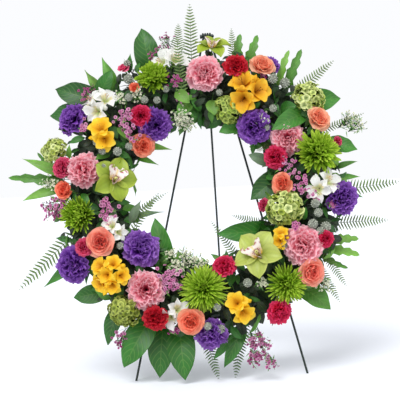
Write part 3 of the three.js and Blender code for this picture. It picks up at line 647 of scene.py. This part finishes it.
YELLOW = tone((252, 206, 24), (254, 226, 84), (226, 160, 10))
YELLOW |= {"flower": funnel, "stamen": linear(236, 196, 60)}
GOLD = tone((248, 190, 22), (252, 214, 70), (206, 136, 10))
GOLD |= {"flower": funnel, "stamen": linear(120, 70, 20), "lined": True}
WHITE = tone((250, 250, 246), (196, 216, 130), (212, 222, 150))
WHITE |= {"flower": lily, "blotch": linear(244, 214, 70), "fleck": linear(112, 34, 44)}
WHITE |= {"stamen": linear(232, 214, 196)}
LIP = {"lip": linear(250, 240, 236), "throat": linear(244, 206, 74), "spot": linear(168, 30, 62)}
LIP |= {"column": linear(226, 226, 142)}
ORCHID = tone((186, 200, 92), (220, 226, 140), (138, 156, 48)) | LIP
GREEN_ORCHID = tone((160, 184, 48), (200, 214, 96), (104, 128, 20)) | LIP

# Where the flowers of a cluster sit: [azimuth, spread, height, size] in shares of its width.
TWO_AND_BUD = {"places": [(0.4, 0.22, 0.02, 0.7), (3.5, 0.22, 0, 0.66)], "buds": [(2.0, 0.42, 0.06)]}
THREE = {
    "places": [(0.5, 0.27, 0, 0.62), (2.6, 0.27, 0, 0.6), (4.7, 0.27, 0, 0.62)],
    "buds": [(1.5, 0.4, 0.1)],
}
SIX = {
    "places": [(0.5, 0.3, 0, 0.42), (1.7, 0.28, 0.03, 0.4), (2.8, 0.33, 0, 0.4), (4.0, 0.3, 0, 0.4),
               (5.2, 0.3, 0.02, 0.42), (0.0, 0.02, 0.08, 0.4)],
    "buds": [(3.4, 0.47, 0.02), (1.1, 0.46, 0.04)],
}
BLOSSOMS = {
    "purple_carnation": [
        (303, 345, 76, 0, PURPLE), (328, 180, 74, 2, PURPLE), (43, 186, 76, 2, PURPLE),
        (242, 336, 79, 0, PURPLE), (227, 185, 81, 0, VIOLET), (96, 322, 76, 0, PURPLE),
        (178, 327, 72, -8, VIOLET),
    ],
    "pink_carnation": [
        (282, 268, 76, 0, SALMON), (5, 268, 80, 0, SALMON), (210, 257, 80, -4, SALMON),
        (122, 266, 84, 0, SALMON), (62, 230, 72, -10, SALMON),
    ],
    "crimson_carnation": [
        (19, 294, 54, 14, DEEP_RED), (324, 212, 47, 12, CRIMSON), (282, 318, 46, 10, HOT_PINK),
        (70, 183, 52, 8, CRIMSON), (165, 183, 50, 8, CRIMSON), (201, 308, 54, 10, DEEP_RED),
        (150, 330, 54, 8, CRIMSON),
    ],
    "coral_rose": [
        (29, 319, 56, 6, PEACH), (311, 168, 56, 4, CORAL), (272, 303, 48, 12, BUD_CORAL),
        (243, 252, 62, 14, PINK_ROSE), (62, 311, 54, 8, PEACH), (90, 187, 47, 12, CORAL),
        (130, 313, 58, 6, PINK_ROSE), (186, 300, 56, 12, CORAL),
    ],
    "spider_mum": [
        (340, 277, 88, 0, ROUND_MUM), (76, 276, 112, 4, CHUNKY), (260, 277, 103, 0, FINE),
        (180, 228, 114, 4, SPIKY), (141, 290, 98, 0, SHAGGY),
    ],
    "viburnum": [
        (289, 352, 70, -12, PALE_GREEN | {"long": 1.15}), (52, 325, 85, 0, PALE_GREEN),
        (22, 196, 74, -8, DEEPER_GREEN), (106, 196, 92, 0, PALE_GREEN), (214, 321, 82, -6, OLIVE),
    ],
    "freesia": [
        (302, 251, 78, 18, YELLOW | TWO_AND_BUD), (29, 245, 98, 20, GOLD | THREE),
        (228, 282, 100, 22, YELLOW | SIX), (164, 286, 74, 16, YELLOW | TWO_AND_BUD),
    ],
    "alstroemeria": [
        (313, 307, 84, 8, WHITE | THREE), (349, 309, 80, 6, WHITE | TWO_AND_BUD),
        (92, 278, 76, 10, WHITE | TWO_AND_BUD), (194, 288, 66, 2, WHITE | TWO_AND_BUD),
    ],
    "cymbidium": [
        (279, 192, 100, 12, GREEN_ORCHID | {"spin": math.radians(279 - 20)}),
        (7, 343, 84, 8, GREEN_ORCHID | {"spin": math.radians(187 - 10)}),
        (142, 199, 108, 20, ORCHID | {"spin": math.radians(142 + 40)}),
    ],
}
# Each kind's maker, its skin, and how far under its centre the stem ends, in shares of its width.
MAKERS = {
    "purple_carnation": (carnation, PETAL, 0.45), "pink_carnation": (carnation, PETAL, 0.45),
    "crimson_carnation": (carnation, PETAL, 0.45), "coral_rose": (rose, PETAL, 0.35),
    "spider_mum": (mum, PETAL, 0.22), "viburnum": (globe, PETAL, 0.3), "freesia": (cluster, PETAL, 0.4),
    "alstroemeria": (cluster, PETAL, 0.4), "cymbidium": (orchid, WAXY, 0.1),
}


def plant(maker, neck, seat, width, rng, style, spin=0.0):
    """A blossom with its stem, in the row frame."""
    centre, out, root = seat
    flower = Sheaf()
    maker(flower, width, rng, style)
    placed = Sheaf()
    place = facing(centre, out, spin)
    placed.merge(flower, place)
    foot = centre - out * neck * width
    stem = tube(bent(root, (root + foot) / 2 + (foot - root) * 0.1, foot, 6), 1.7 * MM, 7)
    placed.add(stem, STEM_GREEN * 0.8, material=1, closed=True)
    return on_wreath(placed)


number = 0
for kind, spots in BLOSSOMS.items():
    maker, skin, neck = MAKERS[kind]
    for i, (clock, reach, width, lift, style) in enumerate(spots):
        number += 1
        rng = np.random.default_rng(100 + number)
        drawn = rng.uniform(0, TAU)
        spin = style.get("spin", drawn)
        node = f"{kind}_{i + 1}"
        sheaf = plant(maker, neck, seat_of(clock, reach, lift), width * MM, rng, style, spin)
        piece = sheaf.piece(f"{kind}_bloom_{i + 1}", [skin, GREEN])
        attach(piece, WREATH)
        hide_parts(node)


# ---- Leaves and ferns ----
SALAL = [linear(42, 106, 30), linear(58, 124, 38), linear(34, 88, 30)]
FRESH = [linear(82, 140, 44), linear(110, 160, 60), linear(70, 124, 38)]
DARK = [linear(16, 38, 16), linear(24, 50, 20), linear(12, 28, 14)]
GREY = [linear(112, 134, 104), linear(96, 122, 92)]
FERN = linear(98, 126, 62)
FERN_DARK = linear(54, 88, 34)
OVATE = [0.04, 0.27, 0.42, 0.49, 0.5, 0.48, 0.43, 0.33, 0.17, 0.004]
NARROW = [0.02, 0.22, 0.38, 0.48, 0.5, 0.44, 0.34, 0.2, 0.07, 0.004]
LOBED = [0.02, 0.2, 0.5, 0.24, 0.46, 0.2, 0.38, 0.16, 0.22, 0.004]
LEAFLET = [0.3, 0.5, 0.5, 0.42, 0.3, 0.02]
LEAFLET_SLANT, LEAFLET_DROOP = 0.42, 0.15
FERN_BOW, RIB_STEPS = 8 * MM, 24


def span_place(base, tip, up):
    """A 4x4 place whose +y runs from base to tip and whose +z is as near as it can be to up."""
    along = tip - base
    along = along / np.linalg.norm(along)
    across = np.cross(along, up)
    across /= np.linalg.norm(across)
    place = np.eye(4)
    place[:3, :3] = np.stack([across, along, np.cross(across, along)], axis=1)
    place[:3, 3] = base
    return place


def leaf(sheaf, base, tip, width, rng, colours, shape=OVATE, bow=0.5, fold=0.25, wave=0.04, up=(0, 0, 1),
         along=14, across=9, material=0):
    """A leaf between two points: bowed along its length, folded a little on its midrib, wavy at its rim."""
    base, tip = np.asarray(base, float), np.asarray(tip, float)
    length = np.linalg.norm(tip - base)
    u, v = np.meshgrid(np.linspace(-1, 1, across), np.linspace(0, 1, along))
    half = np.interp(v, np.linspace(0, 1, len(shape)), shape) * width
    angle = bow * (1 - 2 * v)
    step = length / (along - 1) * bow / math.sin(bow)
    base_row, between = np.zeros((1, across)), (angle[:-1] + angle[1:]) / 2
    out = np.concatenate([base_row, np.cumsum(np.cos(between), axis=0) * step])
    rise = np.concatenate([base_row, np.cumsum(np.sin(between), axis=0) * step])
    waves, phase, lopside = rng.uniform(2, 3.5), rng.uniform(0, TAU), rng.uniform(-1, 1)
    lift = half * (fold * np.abs(u) ** 1.4 + 0.1 * lopside * u)
    lift = lift + wave * width * np.abs(u) ** 2 * np.sin(TAU * waves * v + phase + 1.5 * u)
    flat = np.cos(fold * u)
    grid = np.stack([half * u * flat, out - lift * np.sin(angle), rise + lift * np.cos(angle)], axis=-1)
    colour = colours[rng.integers(len(colours))] * rng.uniform(0.85, 1.2)
    tint = mixed(colour * 0.8, colour, smooth(v)) * (1 + 0.12 * np.sin(3 * u + phase))[..., None]
    sheaf.add(moved(grid, span_place(base, tip, np.asarray(up, float))), tint, material=material, uv=(u, v))


def sprig(sheaf, start, end, bow, radius, colour):
    """A thin bowed stalk between two points."""
    middle = (start + end) / 2 + np.asarray(bow, float)
    stalk = tube(bent(start, middle, end, 7), np.linspace(1, 0.5, 7) * radius, 5)
    sheaf.add(stalk, colour, material=1, closed=True)


def fern(sheaf, base, tip, width, rng, colour, pairs=21):
    """A frond: a thin rib with pairs of narrow leaflets that shorten to its tip."""
    base, tip = np.asarray(base, float), np.asarray(tip, float)
    length = np.linalg.norm(tip - base)
    up = span_place(base, tip, np.array([0, 0, 1.0]))[:3, 2]
    path = bent(base, (base + tip) / 2 + up * FERN_BOW, tip, RIB_STEPS)
    sheaf.add(tube(path, np.linspace(0.9, 0.25, RIB_STEPS) * MM, 5), colour * 0.7, material=1, closed=True)

    def on_rib(share):
        return np.array([np.interp(share, np.linspace(0, 1, RIB_STEPS), path[:, k]) for k in range(3)])

    for i in range(pairs):
        share = 0.1 + 0.89 * (i / (pairs - 1)) ** 0.95
        spot = on_rib(share)
        ahead = path[-1] - path[-2] if share > 0.97 else on_rib(min(1, share + 0.03)) - spot
        ahead /= np.linalg.norm(ahead)
        taper = math.sin(math.pi * (0.22 + 0.78 * share) ** 0.8) ** 0.7 * rng.uniform(0.9, 1.08)
        reach = max(0.0, width / 2 * taper) * rng.uniform(0.92, 1.05) + 1.5 * MM
        for hand in (-1, 1):
            across = np.cross(ahead, up) * hand
            direction = across * math.cos(LEAFLET_SLANT) + ahead * math.sin(LEAFLET_SLANT)
            direction = direction + up * (rng.normal(0, 0.1) - LEAFLET_DROOP)
            end = spot + direction / np.linalg.norm(direction) * reach
            broad = min(0.5 * length / pairs, 0.36 * reach)
            leaf(sheaf, spot, end, broad, rng, [colour], shape=LEAFLET, bow=0.25, fold=0.3, wave=0.0, up=up,
                 along=5, across=3)


# [base clock, base reach, base height, tip clock, tip reach, tip height, width, colours, shape]
LEAVES = [
    (340, 300, 40, 343, 420, 52, 62, SALAL, OVATE), (316, 310, 42, 309, 428, 34, 62, SALAL, OVATE),
    (312, 305, 28, 301, 408, 18, 56, SALAL, OVATE), (308, 300, 52, 297, 362, 66, 48, DARK, OVATE),
    (320, 305, 34, 320, 406, 44, 30, FRESH, NARROW), (324, 305, 48, 327, 400, 58, 30, FRESH, NARROW),
    (278, 310, 36, 278, 452, 36, 34, FRESH, LOBED), (280, 306, 46, 284, 424, 56, 26, FRESH, NARROW),
    (277, 306, 26, 271, 422, 22, 26, FRESH, NARROW), (246, 310, 30, 242, 420, 34, 27, SALAL, NARROW),
    (226, 310, 40, 233, 375, 46, 46, SALAL, OVATE), (218, 305, 28, 214, 404, 34, 42, SALAL, OVATE),
    (204, 300, 40, 206, 432, 52, 66, SALAL, OVATE), (199, 300, 26, 195, 428, 30, 64, SALAL, OVATE),
    (192, 300, 40, 187, 426, 60, 66, SALAL, OVATE), (164, 305, 34, 175, 400, 48, 36, SALAL, OVATE),
    (136, 305, 38, 135, 395, 48, 52, FRESH, OVATE), (70, 305, 40, 77, 372, 52, 44, SALAL, OVATE),
    (48, 305, 38, 58, 392, 48, 60, SALAL, OVATE), (80, 190, 40, 102, 115, 66, 56, SALAL, OVATE),
    (119, 190, 44, 162, 105, 78, 50, SALAL, OVATE), (205, 190, 42, 244, 120, 58, 48, SALAL, OVATE),
    (2, 190, 40, 9, 152, 62, 34, SALAL, OVATE), (312, 190, 40, 330, 124, 44, 18, FRESH, NARROW),
    (303, 190, 36, 308, 120, 40, 16, FRESH, NARROW), (253, 190, 40, 246, 92, 44, 16, GREY, NARROW),
    (41, 306, 40, 37, 412, 54, 34, FRESH, LOBED), (38, 306, 52, 34, 392, 66, 28, FRESH, LOBED),
    (18, 306, 40, 16, 390, 52, 34, FRESH, LOBED), (22, 306, 48, 22, 396, 60, 34, FRESH, LOBED),
    (114, 306, 40, 109, 374, 46, 34, FRESH, LOBED), (117, 306, 30, 114, 388, 34, 34, FRESH, LOBED),
    (120, 306, 40, 120, 376, 46, 22, FRESH, LOBED), (82, 306, 40, 81, 368, 46, 16, FRESH, NARROW),
    (86, 306, 50, 87, 366, 56, 16, FRESH, NARROW), (90, 306, 36, 94, 372, 38, 22, SALAL, NARROW),
]
# [base clock, base reach, base height, tip clock, tip reach, tip height, width, colour]
FRONDS = [
    (358, 300, 32, 359, 458, 44, 44, FERN), (351, 300, 50, 355, 405, 66, 42, FERN),
    (258, 300, 36, 245, 472, 30, 48, FERN), (44, 300, 36, 47, 440, 44, 36, FERN),
    (92, 300, 28, 89, 455, 34, 44, FERN), (107, 300, 40, 101, 430, 46, 40, FERN),
    (64, 300, 34, 66, 420, 42, 22, FERN), (122, 300, 36, 131, 400, 44, 30, FERN),
    (183, 300, 44, 177, 424, 66, 36, FERN_DARK), (162, 300, 34, 172, 426, 44, 38, FERN_DARK),
    (116, 190, 36, 128, 86, 44, 26, FERN), (252, 190, 48, 275, 76, 54, 22, FERN),
]
QUARTERS = ["upper_right", "lower_right", "lower_left", "upper_left"]
rng = np.random.default_rng(7)
growth = {quarter: Sheaf() for quarter in QUARTERS}


def quarter_of(clock):
    return growth[QUARTERS[int(clock % 360 // 90)]]


def ends(row):
    """The base and the tip that a row of one of the tables below begins with."""
    return at_clock(*row[:3]), at_clock(*row[3:6])


def rooted(clock, reach, height):
    """Where greenery starts: the outer or inner side of the foam."""
    side = 1 if reach * MM > RING else -1
    return at_clock(clock, (RING + side * FOAM_HALF) / MM, height)


for row in LEAVES:
    sheaf = quarter_of(row[0])
    base, tip = ends(row)
    width, colours, shape = row[6:]
    tilt = np.array([rng.normal(0, 0.2), rng.normal(0, 0.2), 1.0])
    leaf(sheaf, base, tip, width * MM, rng, colours, shape=shape, up=tilt)
    sprig(sheaf, rooted(*row[:3]), base + (tip - base) * 0.02, (0, 0, -2 * MM), 1.4 * MM, STEM_GREEN)
for row in FRONDS:
    base, tip = ends(row)
    width, colour = row[6:]
    fern(quarter_of(row[0]), rooted(*row[:3]), tip, width * MM, rng, colour)


# A bed of small dark leaves over the ring, so that no foam shows between the blossoms; the near-black greens
# in its depths are painted shade.
def bed_leaf(clock, across, depth, size, colours, shape=OVATE, slender=0.5):
    """A small leaf of the bed: across goes from -1 at the inner side of the ring to 1 at the outer."""
    spot, out = on_bed(clock, float(np.clip(245 + 100 * across, 150, 340)), depth)
    outward = math.radians(90 - clock) + (0 if across > 0 else math.pi)
    heading = rng.uniform(0, TAU) if abs(across) < 0.55 else outward + rng.normal(0, 0.6)
    along = np.array([math.cos(heading), math.sin(heading), 0.0])
    along = along - out * along.dot(out) + out * rng.uniform(-0.1, 0.5)
    along /= np.linalg.norm(along)
    leaf(quarter_of(clock), spot - along * size / 2, spot + along * size / 2, size * slender, rng, colours,
         shape=shape, up=out + rng.normal(0, 0.35, 3), along=7, across=5)


GOLDEN_DEGREES = 137.508
DEEP_LEAVES, UPPER_LEAVES, EDGE_LEAVES = 620, 420, 150
# The deepest leaves all take the near-black DARK greens and the upper ones mostly do: painted shade in the
# gaps of the bed, on real leaves.
for i in range(DEEP_LEAVES):
    across = rng.uniform(-1.05, 1.05)
    bed_leaf(i * GOLDEN_DEGREES % 360, across, rng.uniform(-62, -44), rng.uniform(34, 52) * MM, DARK,
             slender=0.62)
for i in range(UPPER_LEAVES):
    across = rng.uniform(-1.1, 1.1)
    colours = DARK if rng.uniform() < 0.55 else SALAL
    bed_leaf(i * GOLDEN_DEGREES % 360, across, rng.uniform(-44, -14), rng.uniform(24, 40) * MM, colours,
             slender=rng.uniform(0.35, 0.6))

for i in range(EDGE_LEAVES):
    at_edge = rng.uniform() < 0.8
    across = rng.choice([-1, 1]) * rng.uniform(0.86, 1.0) if at_edge else rng.uniform(-0.8, 0.8)
    colours = SALAL if rng.uniform() < 0.6 else FRESH
    bed_leaf(i * GOLDEN_DEGREES % 360, across, rng.uniform(-40, -10), rng.uniform(34, 52) * MM, colours,
             shape=LOBED if rng.uniform() < 0.3 else NARROW, slender=rng.uniform(0.28, 0.5))

# Loose leaves and ferns among the blossoms: [base clock, reach, height, tip clock, reach, height, width].
LOOSE = [
    (56, 300, 84, 54, 208, 128, 46, SALAL, OVATE), (315, 325, 60, 327, 352, 84, 38, SALAL, OVATE),
    (332, 330, 60, 336, 366, 80, 18, SALAL, NARROW), (279, 330, 44, 287, 392, 58, 20, FRESH, LOBED),
    (169, 330, 50, 178, 380, 64, 22, SALAL, OVATE), (35, 186, 74, 20, 142, 84, 34, SALAL, OVATE),
    (248, 176, 70, 264, 136, 84, 22, GREY, NARROW), (71, 172, 70, 55, 138, 80, 28, GREY, OVATE),
    (164, 196, 76, 159, 146, 84, 22, SALAL, NARROW), (356, 205, 96, 346, 178, 112, 34, FRESH, OVATE),
    (10, 210, 96, 14, 172, 112, 34, FRESH, OVATE), (349, 232, 110, 356, 196, 124, 30, FRESH, OVATE),
    (190, 262, 96, 184, 300, 104, 34, SALAL, OVATE), (47, 262, 90, 52, 290, 112, 30, SALAL, OVATE),
    (296, 228, 84, 288, 248, 112, 26, FRESH, NARROW), (262, 216, 80, 250, 196, 104, 28, GREY, NARROW),
]
rng = np.random.default_rng(21)
for row in LOOSE:
    base, tip = ends(row)
    width, colours, shape = row[6:]
    leaf(quarter_of(row[0]), base, tip, width * MM, rng, colours, shape=shape)
    sprig(quarter_of(row[0]), at_clock(row[0], 245, 66), base, (0, 0, 6 * MM), 1.1 * MM, STEM_GREEN)

# [base clock, base reach, base height, tip clock, tip reach, tip height, width]
SMALL_FERNS = [
    (352, 216, 112, 354, 352, 128, 34), (18, 290, 60, 13, 392, 74, 28), (240, 200, 70, 274, 92, 72, 24),
    (60, 214, 76, 57, 158, 84, 22), (153, 186, 60, 163, 70, 62, 24), (118, 300, 60, 126, 392, 66, 24),
]
for row in SMALL_FERNS:
    fern(quarter_of(row[0]), *ends(row), row[6] * MM, rng, FERN, pairs=18)

# ---- Small blossoms and fillers, which the solids leave out ----
EDGE_REACH = 344
FLORETS_BY_AREA = 0.085
MAUVE, MAGENTA = linear(226, 128, 186), linear(186, 40, 136)
CREAM, PLUM = linear(244, 242, 222), linear(96, 18, 64)
# Each spray: its colour, its heart, a floret's size in mm, and its tufts as [clock, reach, spread].
SPRAYS = {
    "waxflower": (MAUVE, PLUM, 8.5, [
        (316, 230, 36), (312, 206, 27), (266, 330, 34), (267, 310, 22), (264, 215, 20), (258, 212, 24),
        (254, 220, 22), (200, 212, 34), (196, 226, 24), (202, 230, 27), (163, 355, 24), (161, 375, 28),
        (164, 385, 24), (161, 402, 18), (211, 372, 18), (89, 230, 20), (94, 226, 20), (96, 250, 20),
        (82, 210, 20), (76, 206, 18), (352, 214, 16), (160, 352, 20), (246, 232, 20), (301, 300, 20),
        (20, 268, 18), (116, 236, 18),
    ]),
    "statice": (MAGENTA, PLUM, 6.5, [
        (315, 345, 24), (312, 334, 18), (350, 360, 20), (348, 345, 20), (350, 255, 20), (343, 335, 16),
        (211, 388, 16), (267, 345, 18), (263, 330, 16), (165, 395, 20), (160, 414, 14), (32, 296, 16),
        (100, 300, 16), (192, 320, 16),
    ]),
    "rice_flower": (CREAM, linear(150, 170, 90), 5.0, [
        (195, 158, 26), (199, 176, 24), (187, 162, 24), (180, 172, 20), (206, 166, 18), (196, 192, 20),
        (350, 180, 26), (347, 166, 24), (353, 158, 20), (130, 350, 22), (67, 372, 24), (70, 385, 20),
        (276, 344, 20), (275, 325, 20), (330, 262, 22), (322, 276, 18), (44, 214, 18), (150, 258, 18),
    ]),
}
for kind, (colour, heart, size, spots) in SPRAYS.items():
    rng = np.random.default_rng(len(kind))
    spray = Sheaf()
    for clock, reach, spread in spots:
        middle, out = on_bed(clock, min(reach, EDGE_REACH), rng.uniform(0, 12))
        middle = middle + at_clock(clock, max(0, reach - EDGE_REACH), 0)
        for _ in range(max(5, round(FLORETS_BY_AREA * (spread / size * 5) ** 2))):
            spot = middle + rng.normal(0, 0.36, 3) * spread * (1, 1, 0.5) * MM
            look = out + rng.normal(0, 0.35, 3)
            shade = mixed(colour, (1, 1, 1), rng.uniform(0, 0.25))
            floret(spray, facing(spot, look), size * rng.uniform(0.8, 1.25) * MM, rng, shade, heart,
                   outline=(0.3, 0.5, 0.7, 0.66, 0.34))
            root = middle - out * rng.uniform(22, 40) * MM
            stalk = tube(bent(root, (root + spot) / 2, spot, 4), 0.45 * MM, 3)
            spray.add(stalk, DEEP_GREEN, material=1, closed=True)
            needle = spot - out * rng.uniform(3, 14) * MM
            tip = needle + rng.normal(0, 1, 3) * 7 * MM
            leaf(spray, needle, tip, 2.2 * MM, rng, FRESH, shape=NARROW, along=4, across=3, material=1)
    piece = on_wreath(spray).piece(kind, [PETAL, GREEN])
    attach(piece, WREATH)

# [clock, reach, size] of each brunia ball, in mm.
BRUNIA = [
    (297, 255, 15), (294, 236, 15), (297, 206, 17), (304, 190, 15), (290, 186, 13), (330, 305, 19),
    (333, 338, 15), (344, 240, 13), (325, 264, 15), (36, 300, 19), (41, 310, 20), (45, 246, 15),
    (111, 265, 19), (110, 295, 20), (113, 285, 17), (174, 270, 15), (179, 306, 15), (174, 318, 17),
    (156, 240, 17), (101, 260, 17), (105, 270, 17), (337, 225, 14), (331, 240, 15), (286, 222, 14),
    (236, 220, 14), (50, 205, 14), (14, 225, 13), (127, 230, 14),
]
SILVER = linear(176, 182, 166)
KNOBS, NEEDLES = 46, 46
KNOB_PROFILE = [(0.0, -0.6), (0.75, -0.1), (0.6, 0.5), (0.0, 0.75)]
rng = np.random.default_rng(5)
berries = Sheaf()
for clock, reach, size in BRUNIA:
    spot, out = on_bed(clock, reach, rng.uniform(-2, 10))
    radius = size / 2 * MM
    ball = [(radius * math.cos(a), radius * 0.95 * math.sin(a)) for a in np.linspace(-1.57, 1.57, 9)]
    # The ball under the knobs is darker than they are: painted shade between the knobs.
    berries.add(moved(turned(ball, 14), facing(spot, out)), SILVER * 0.55, closed=True)
    for i in range(KNOBS):
        height = 1 - 1.9 * (i + 0.5) / KNOBS
        ring = math.sqrt(max(0.0, 1 - height * height))
        way = np.array([ring * math.cos(i * SPIRAL), ring * math.sin(i * SPIRAL), height])
        profile = [(r * radius * 0.27, h * radius * 0.34) for r, h in KNOB_PROFILE]
        place = facing(way * radius, way)
        placed = moved(moved(turned(profile, 5), place), facing(spot, out))
        berries.add(placed, SILVER * rng.uniform(0.45, 1.15), closed=True)
    root = spot - out * 45 * MM
    stalk = tube(bent(root, (root + spot) / 2, spot, 4), 1.1 * MM, 5)
    berries.add(stalk, DEEP_GREEN, material=1, closed=True)
    for _ in range(NEEDLES):
        start = spot - out * rng.uniform(6, 40) * MM
        tip = start + (rng.normal(0, 0.8, 3) + out * 0.7) * 11 * MM
        leaf(berries, start, tip, 1.7 * MM, rng, DARK, shape=NARROW, along=3, across=3, material=1)
piece = on_wreath(berries).piece("brunia", [BERRY, GREEN])
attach(piece, WREATH)

# [name, kind, (clock, reach, lift), width, style] in mm.
LONE = [
    ("small_rose_1", rose, (331, 340, 6), 29, HOT_PINK | {"petals": 20}),
    ("small_rose_2", rose, (330, 275, 8), 27, BUD_CORAL),
    ("small_carnation_1", carnation, (245, 290, 16), 40, HOT_PINK),
    ("small_carnation_2", carnation, (115, 305, 10), 36, CRIMSON),
    ("small_carnation_3", carnation, (105, 146, 0), 30, HOT_PINK),
    ("small_carnation_4", carnation, (31, 338, -8), 46, PURPLE),
    ("small_carnation_5", carnation, (73, 332, 4), 22, HOT_PINK),
    ("small_alstroemeria", cluster, (246, 208, 14), 56, WHITE | TWO_AND_BUD),
    ("small_freesia", cluster, (125, 212, 14), 52, YELLOW | TWO_AND_BUD),
]
for i, (name, maker, (clock, reach, lift), width, style) in enumerate(LONE):
    rng = np.random.default_rng(300 + i)
    flower = plant(maker, 0.4, seat_of(clock, reach, lift), width * MM, rng, style)
    piece = flower.piece(name, [PETAL, GREEN])
    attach(piece, WREATH)

for quarter, sheaf in growth.items():
    piece = on_wreath(sheaf).piece(f"foliage_{quarter}", [LEAF, GREEN])
    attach(piece, WREATH)
    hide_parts(f"greenery_{quarter}")


# ---- Foam, tray and wire: the CAD's own solids with finished surfaces ----
def coat(name, colour, rough, scale, spread, bump, metal=0.0):
    """A surface of one colour broken up by noise, for solids that carry no tint."""
    material, tree, shader = new_material(name)
    noise = noise_over(tree, scale, 6)
    ramp = added(tree, "Mix", data_type="RGBA")
    ramp.inputs["A"].default_value = (*(colour * (1 - spread)), 1)
    ramp.inputs["B"].default_value = (*(colour * (1 + spread)), 1)
    tree.links.new(noise, ramp.inputs["Factor"])
    tree.links.new(ramp.outputs["Result"], shader.inputs["Base Color"])
    roughened(tree, noise, noise, rough, 0.12, bump, 1 * MM)
    shader.inputs["Metallic"].default_value = metal
    return material


FOAM = coat("wet_foam", linear(26, 44, 26), 0.9, 260, 0.6, 0.9)
TRAY = coat("tray_plastic", linear(24, 42, 30), 0.45, 90, 0.2, 0.15)
WIRE = coat("wire_coat", linear(20, 36, 30), 0.35, 500, 0.3, 0.12, metal=0.2)
WIRES = ["easel_left_leg", "easel_right_leg", "easel_rear_leg", "easel_top_hook", "hinge_bolt", "hinge_nut"]
for node, material in [("foam_ring", FOAM), ("base_tray", TRAY)] + [(name, WIRE) for name in WIRES]:
    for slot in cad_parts[node].material_slots:
        slot.link = "OBJECT"
        slot.material = material

# ---- Light, floor and camera ----
bpy.ops.mesh.primitive_plane_add(size=12)
floor = bpy.context.object
floor.name = "studio_floor"
paper, _, shader = new_material("studio_paper")
shader.inputs["Base Color"].default_value = (0.9, 0.925, 0.985, 1)
shader.inputs["Roughness"].default_value = 0.9
floor.data.materials.append(paper)

world = bpy.data.worlds.new("studio")
bpy.context.scene.world = world
world.use_nodes = True
sky = world.node_tree.nodes["Background"]
sky.inputs["Color"].default_value = (0.97, 0.98, 1, 1)
seen = added(world.node_tree, "LightPath").outputs["Is Camera Ray"]
strength = added(world.node_tree, "MapRange", {"Value": seen, "To Min": 0.82, "To Max": 1.0})
world.node_tree.links.new(strength.outputs["Result"], sky.inputs["Strength"])


def sun(name, direction, strength, spread):
    """A sun that shines along a direction, as wide as spread in degrees."""
    light = bpy.data.lights.new(name, "SUN")
    light.energy = strength
    light.angle = math.radians(spread)
    obj = bpy.data.objects.new(name, light)
    obj.rotation_euler = Vector(direction).to_track_quat("-Z", "Y").to_euler()
    bpy.context.scene.collection.objects.link(obj)


sun("key_light", (0.35, 0.9, -1.2), 1.9, 30)
sun("fill_light", (-0.9, 0.8, -0.5), 0.5, 60)

camera = bpy.data.cameras.new("front_camera")
camera_obj = bpy.data.objects.new("front_camera", camera)
bpy.context.scene.collection.objects.link(camera_obj)
camera.sensor_width = 36
camera.lens = 115.5
LOOK_AT = Vector((-0.009, -0.07, 0.397))
AZIMUTH, ELEVATION, ROLL = math.radians(2.5), math.radians(4.5), math.radians(-3.1)
DISTANCE = 3.0
level = math.cos(ELEVATION)
away = Vector((math.sin(AZIMUTH) * level, -math.cos(AZIMUTH) * level, math.sin(ELEVATION)))
camera_obj.location = LOOK_AT + away * DISTANCE
turn = (-away).to_track_quat("-Z", "Y").to_matrix().to_4x4() @ Matrix.Rotation(ROLL, 4, "Z")
camera_obj.matrix_world = Matrix.Translation(camera_obj.location) @ turn
bpy.context.scene.camera = camera_obj
bpy.context.scene.view_settings.view_transform = "Standard"
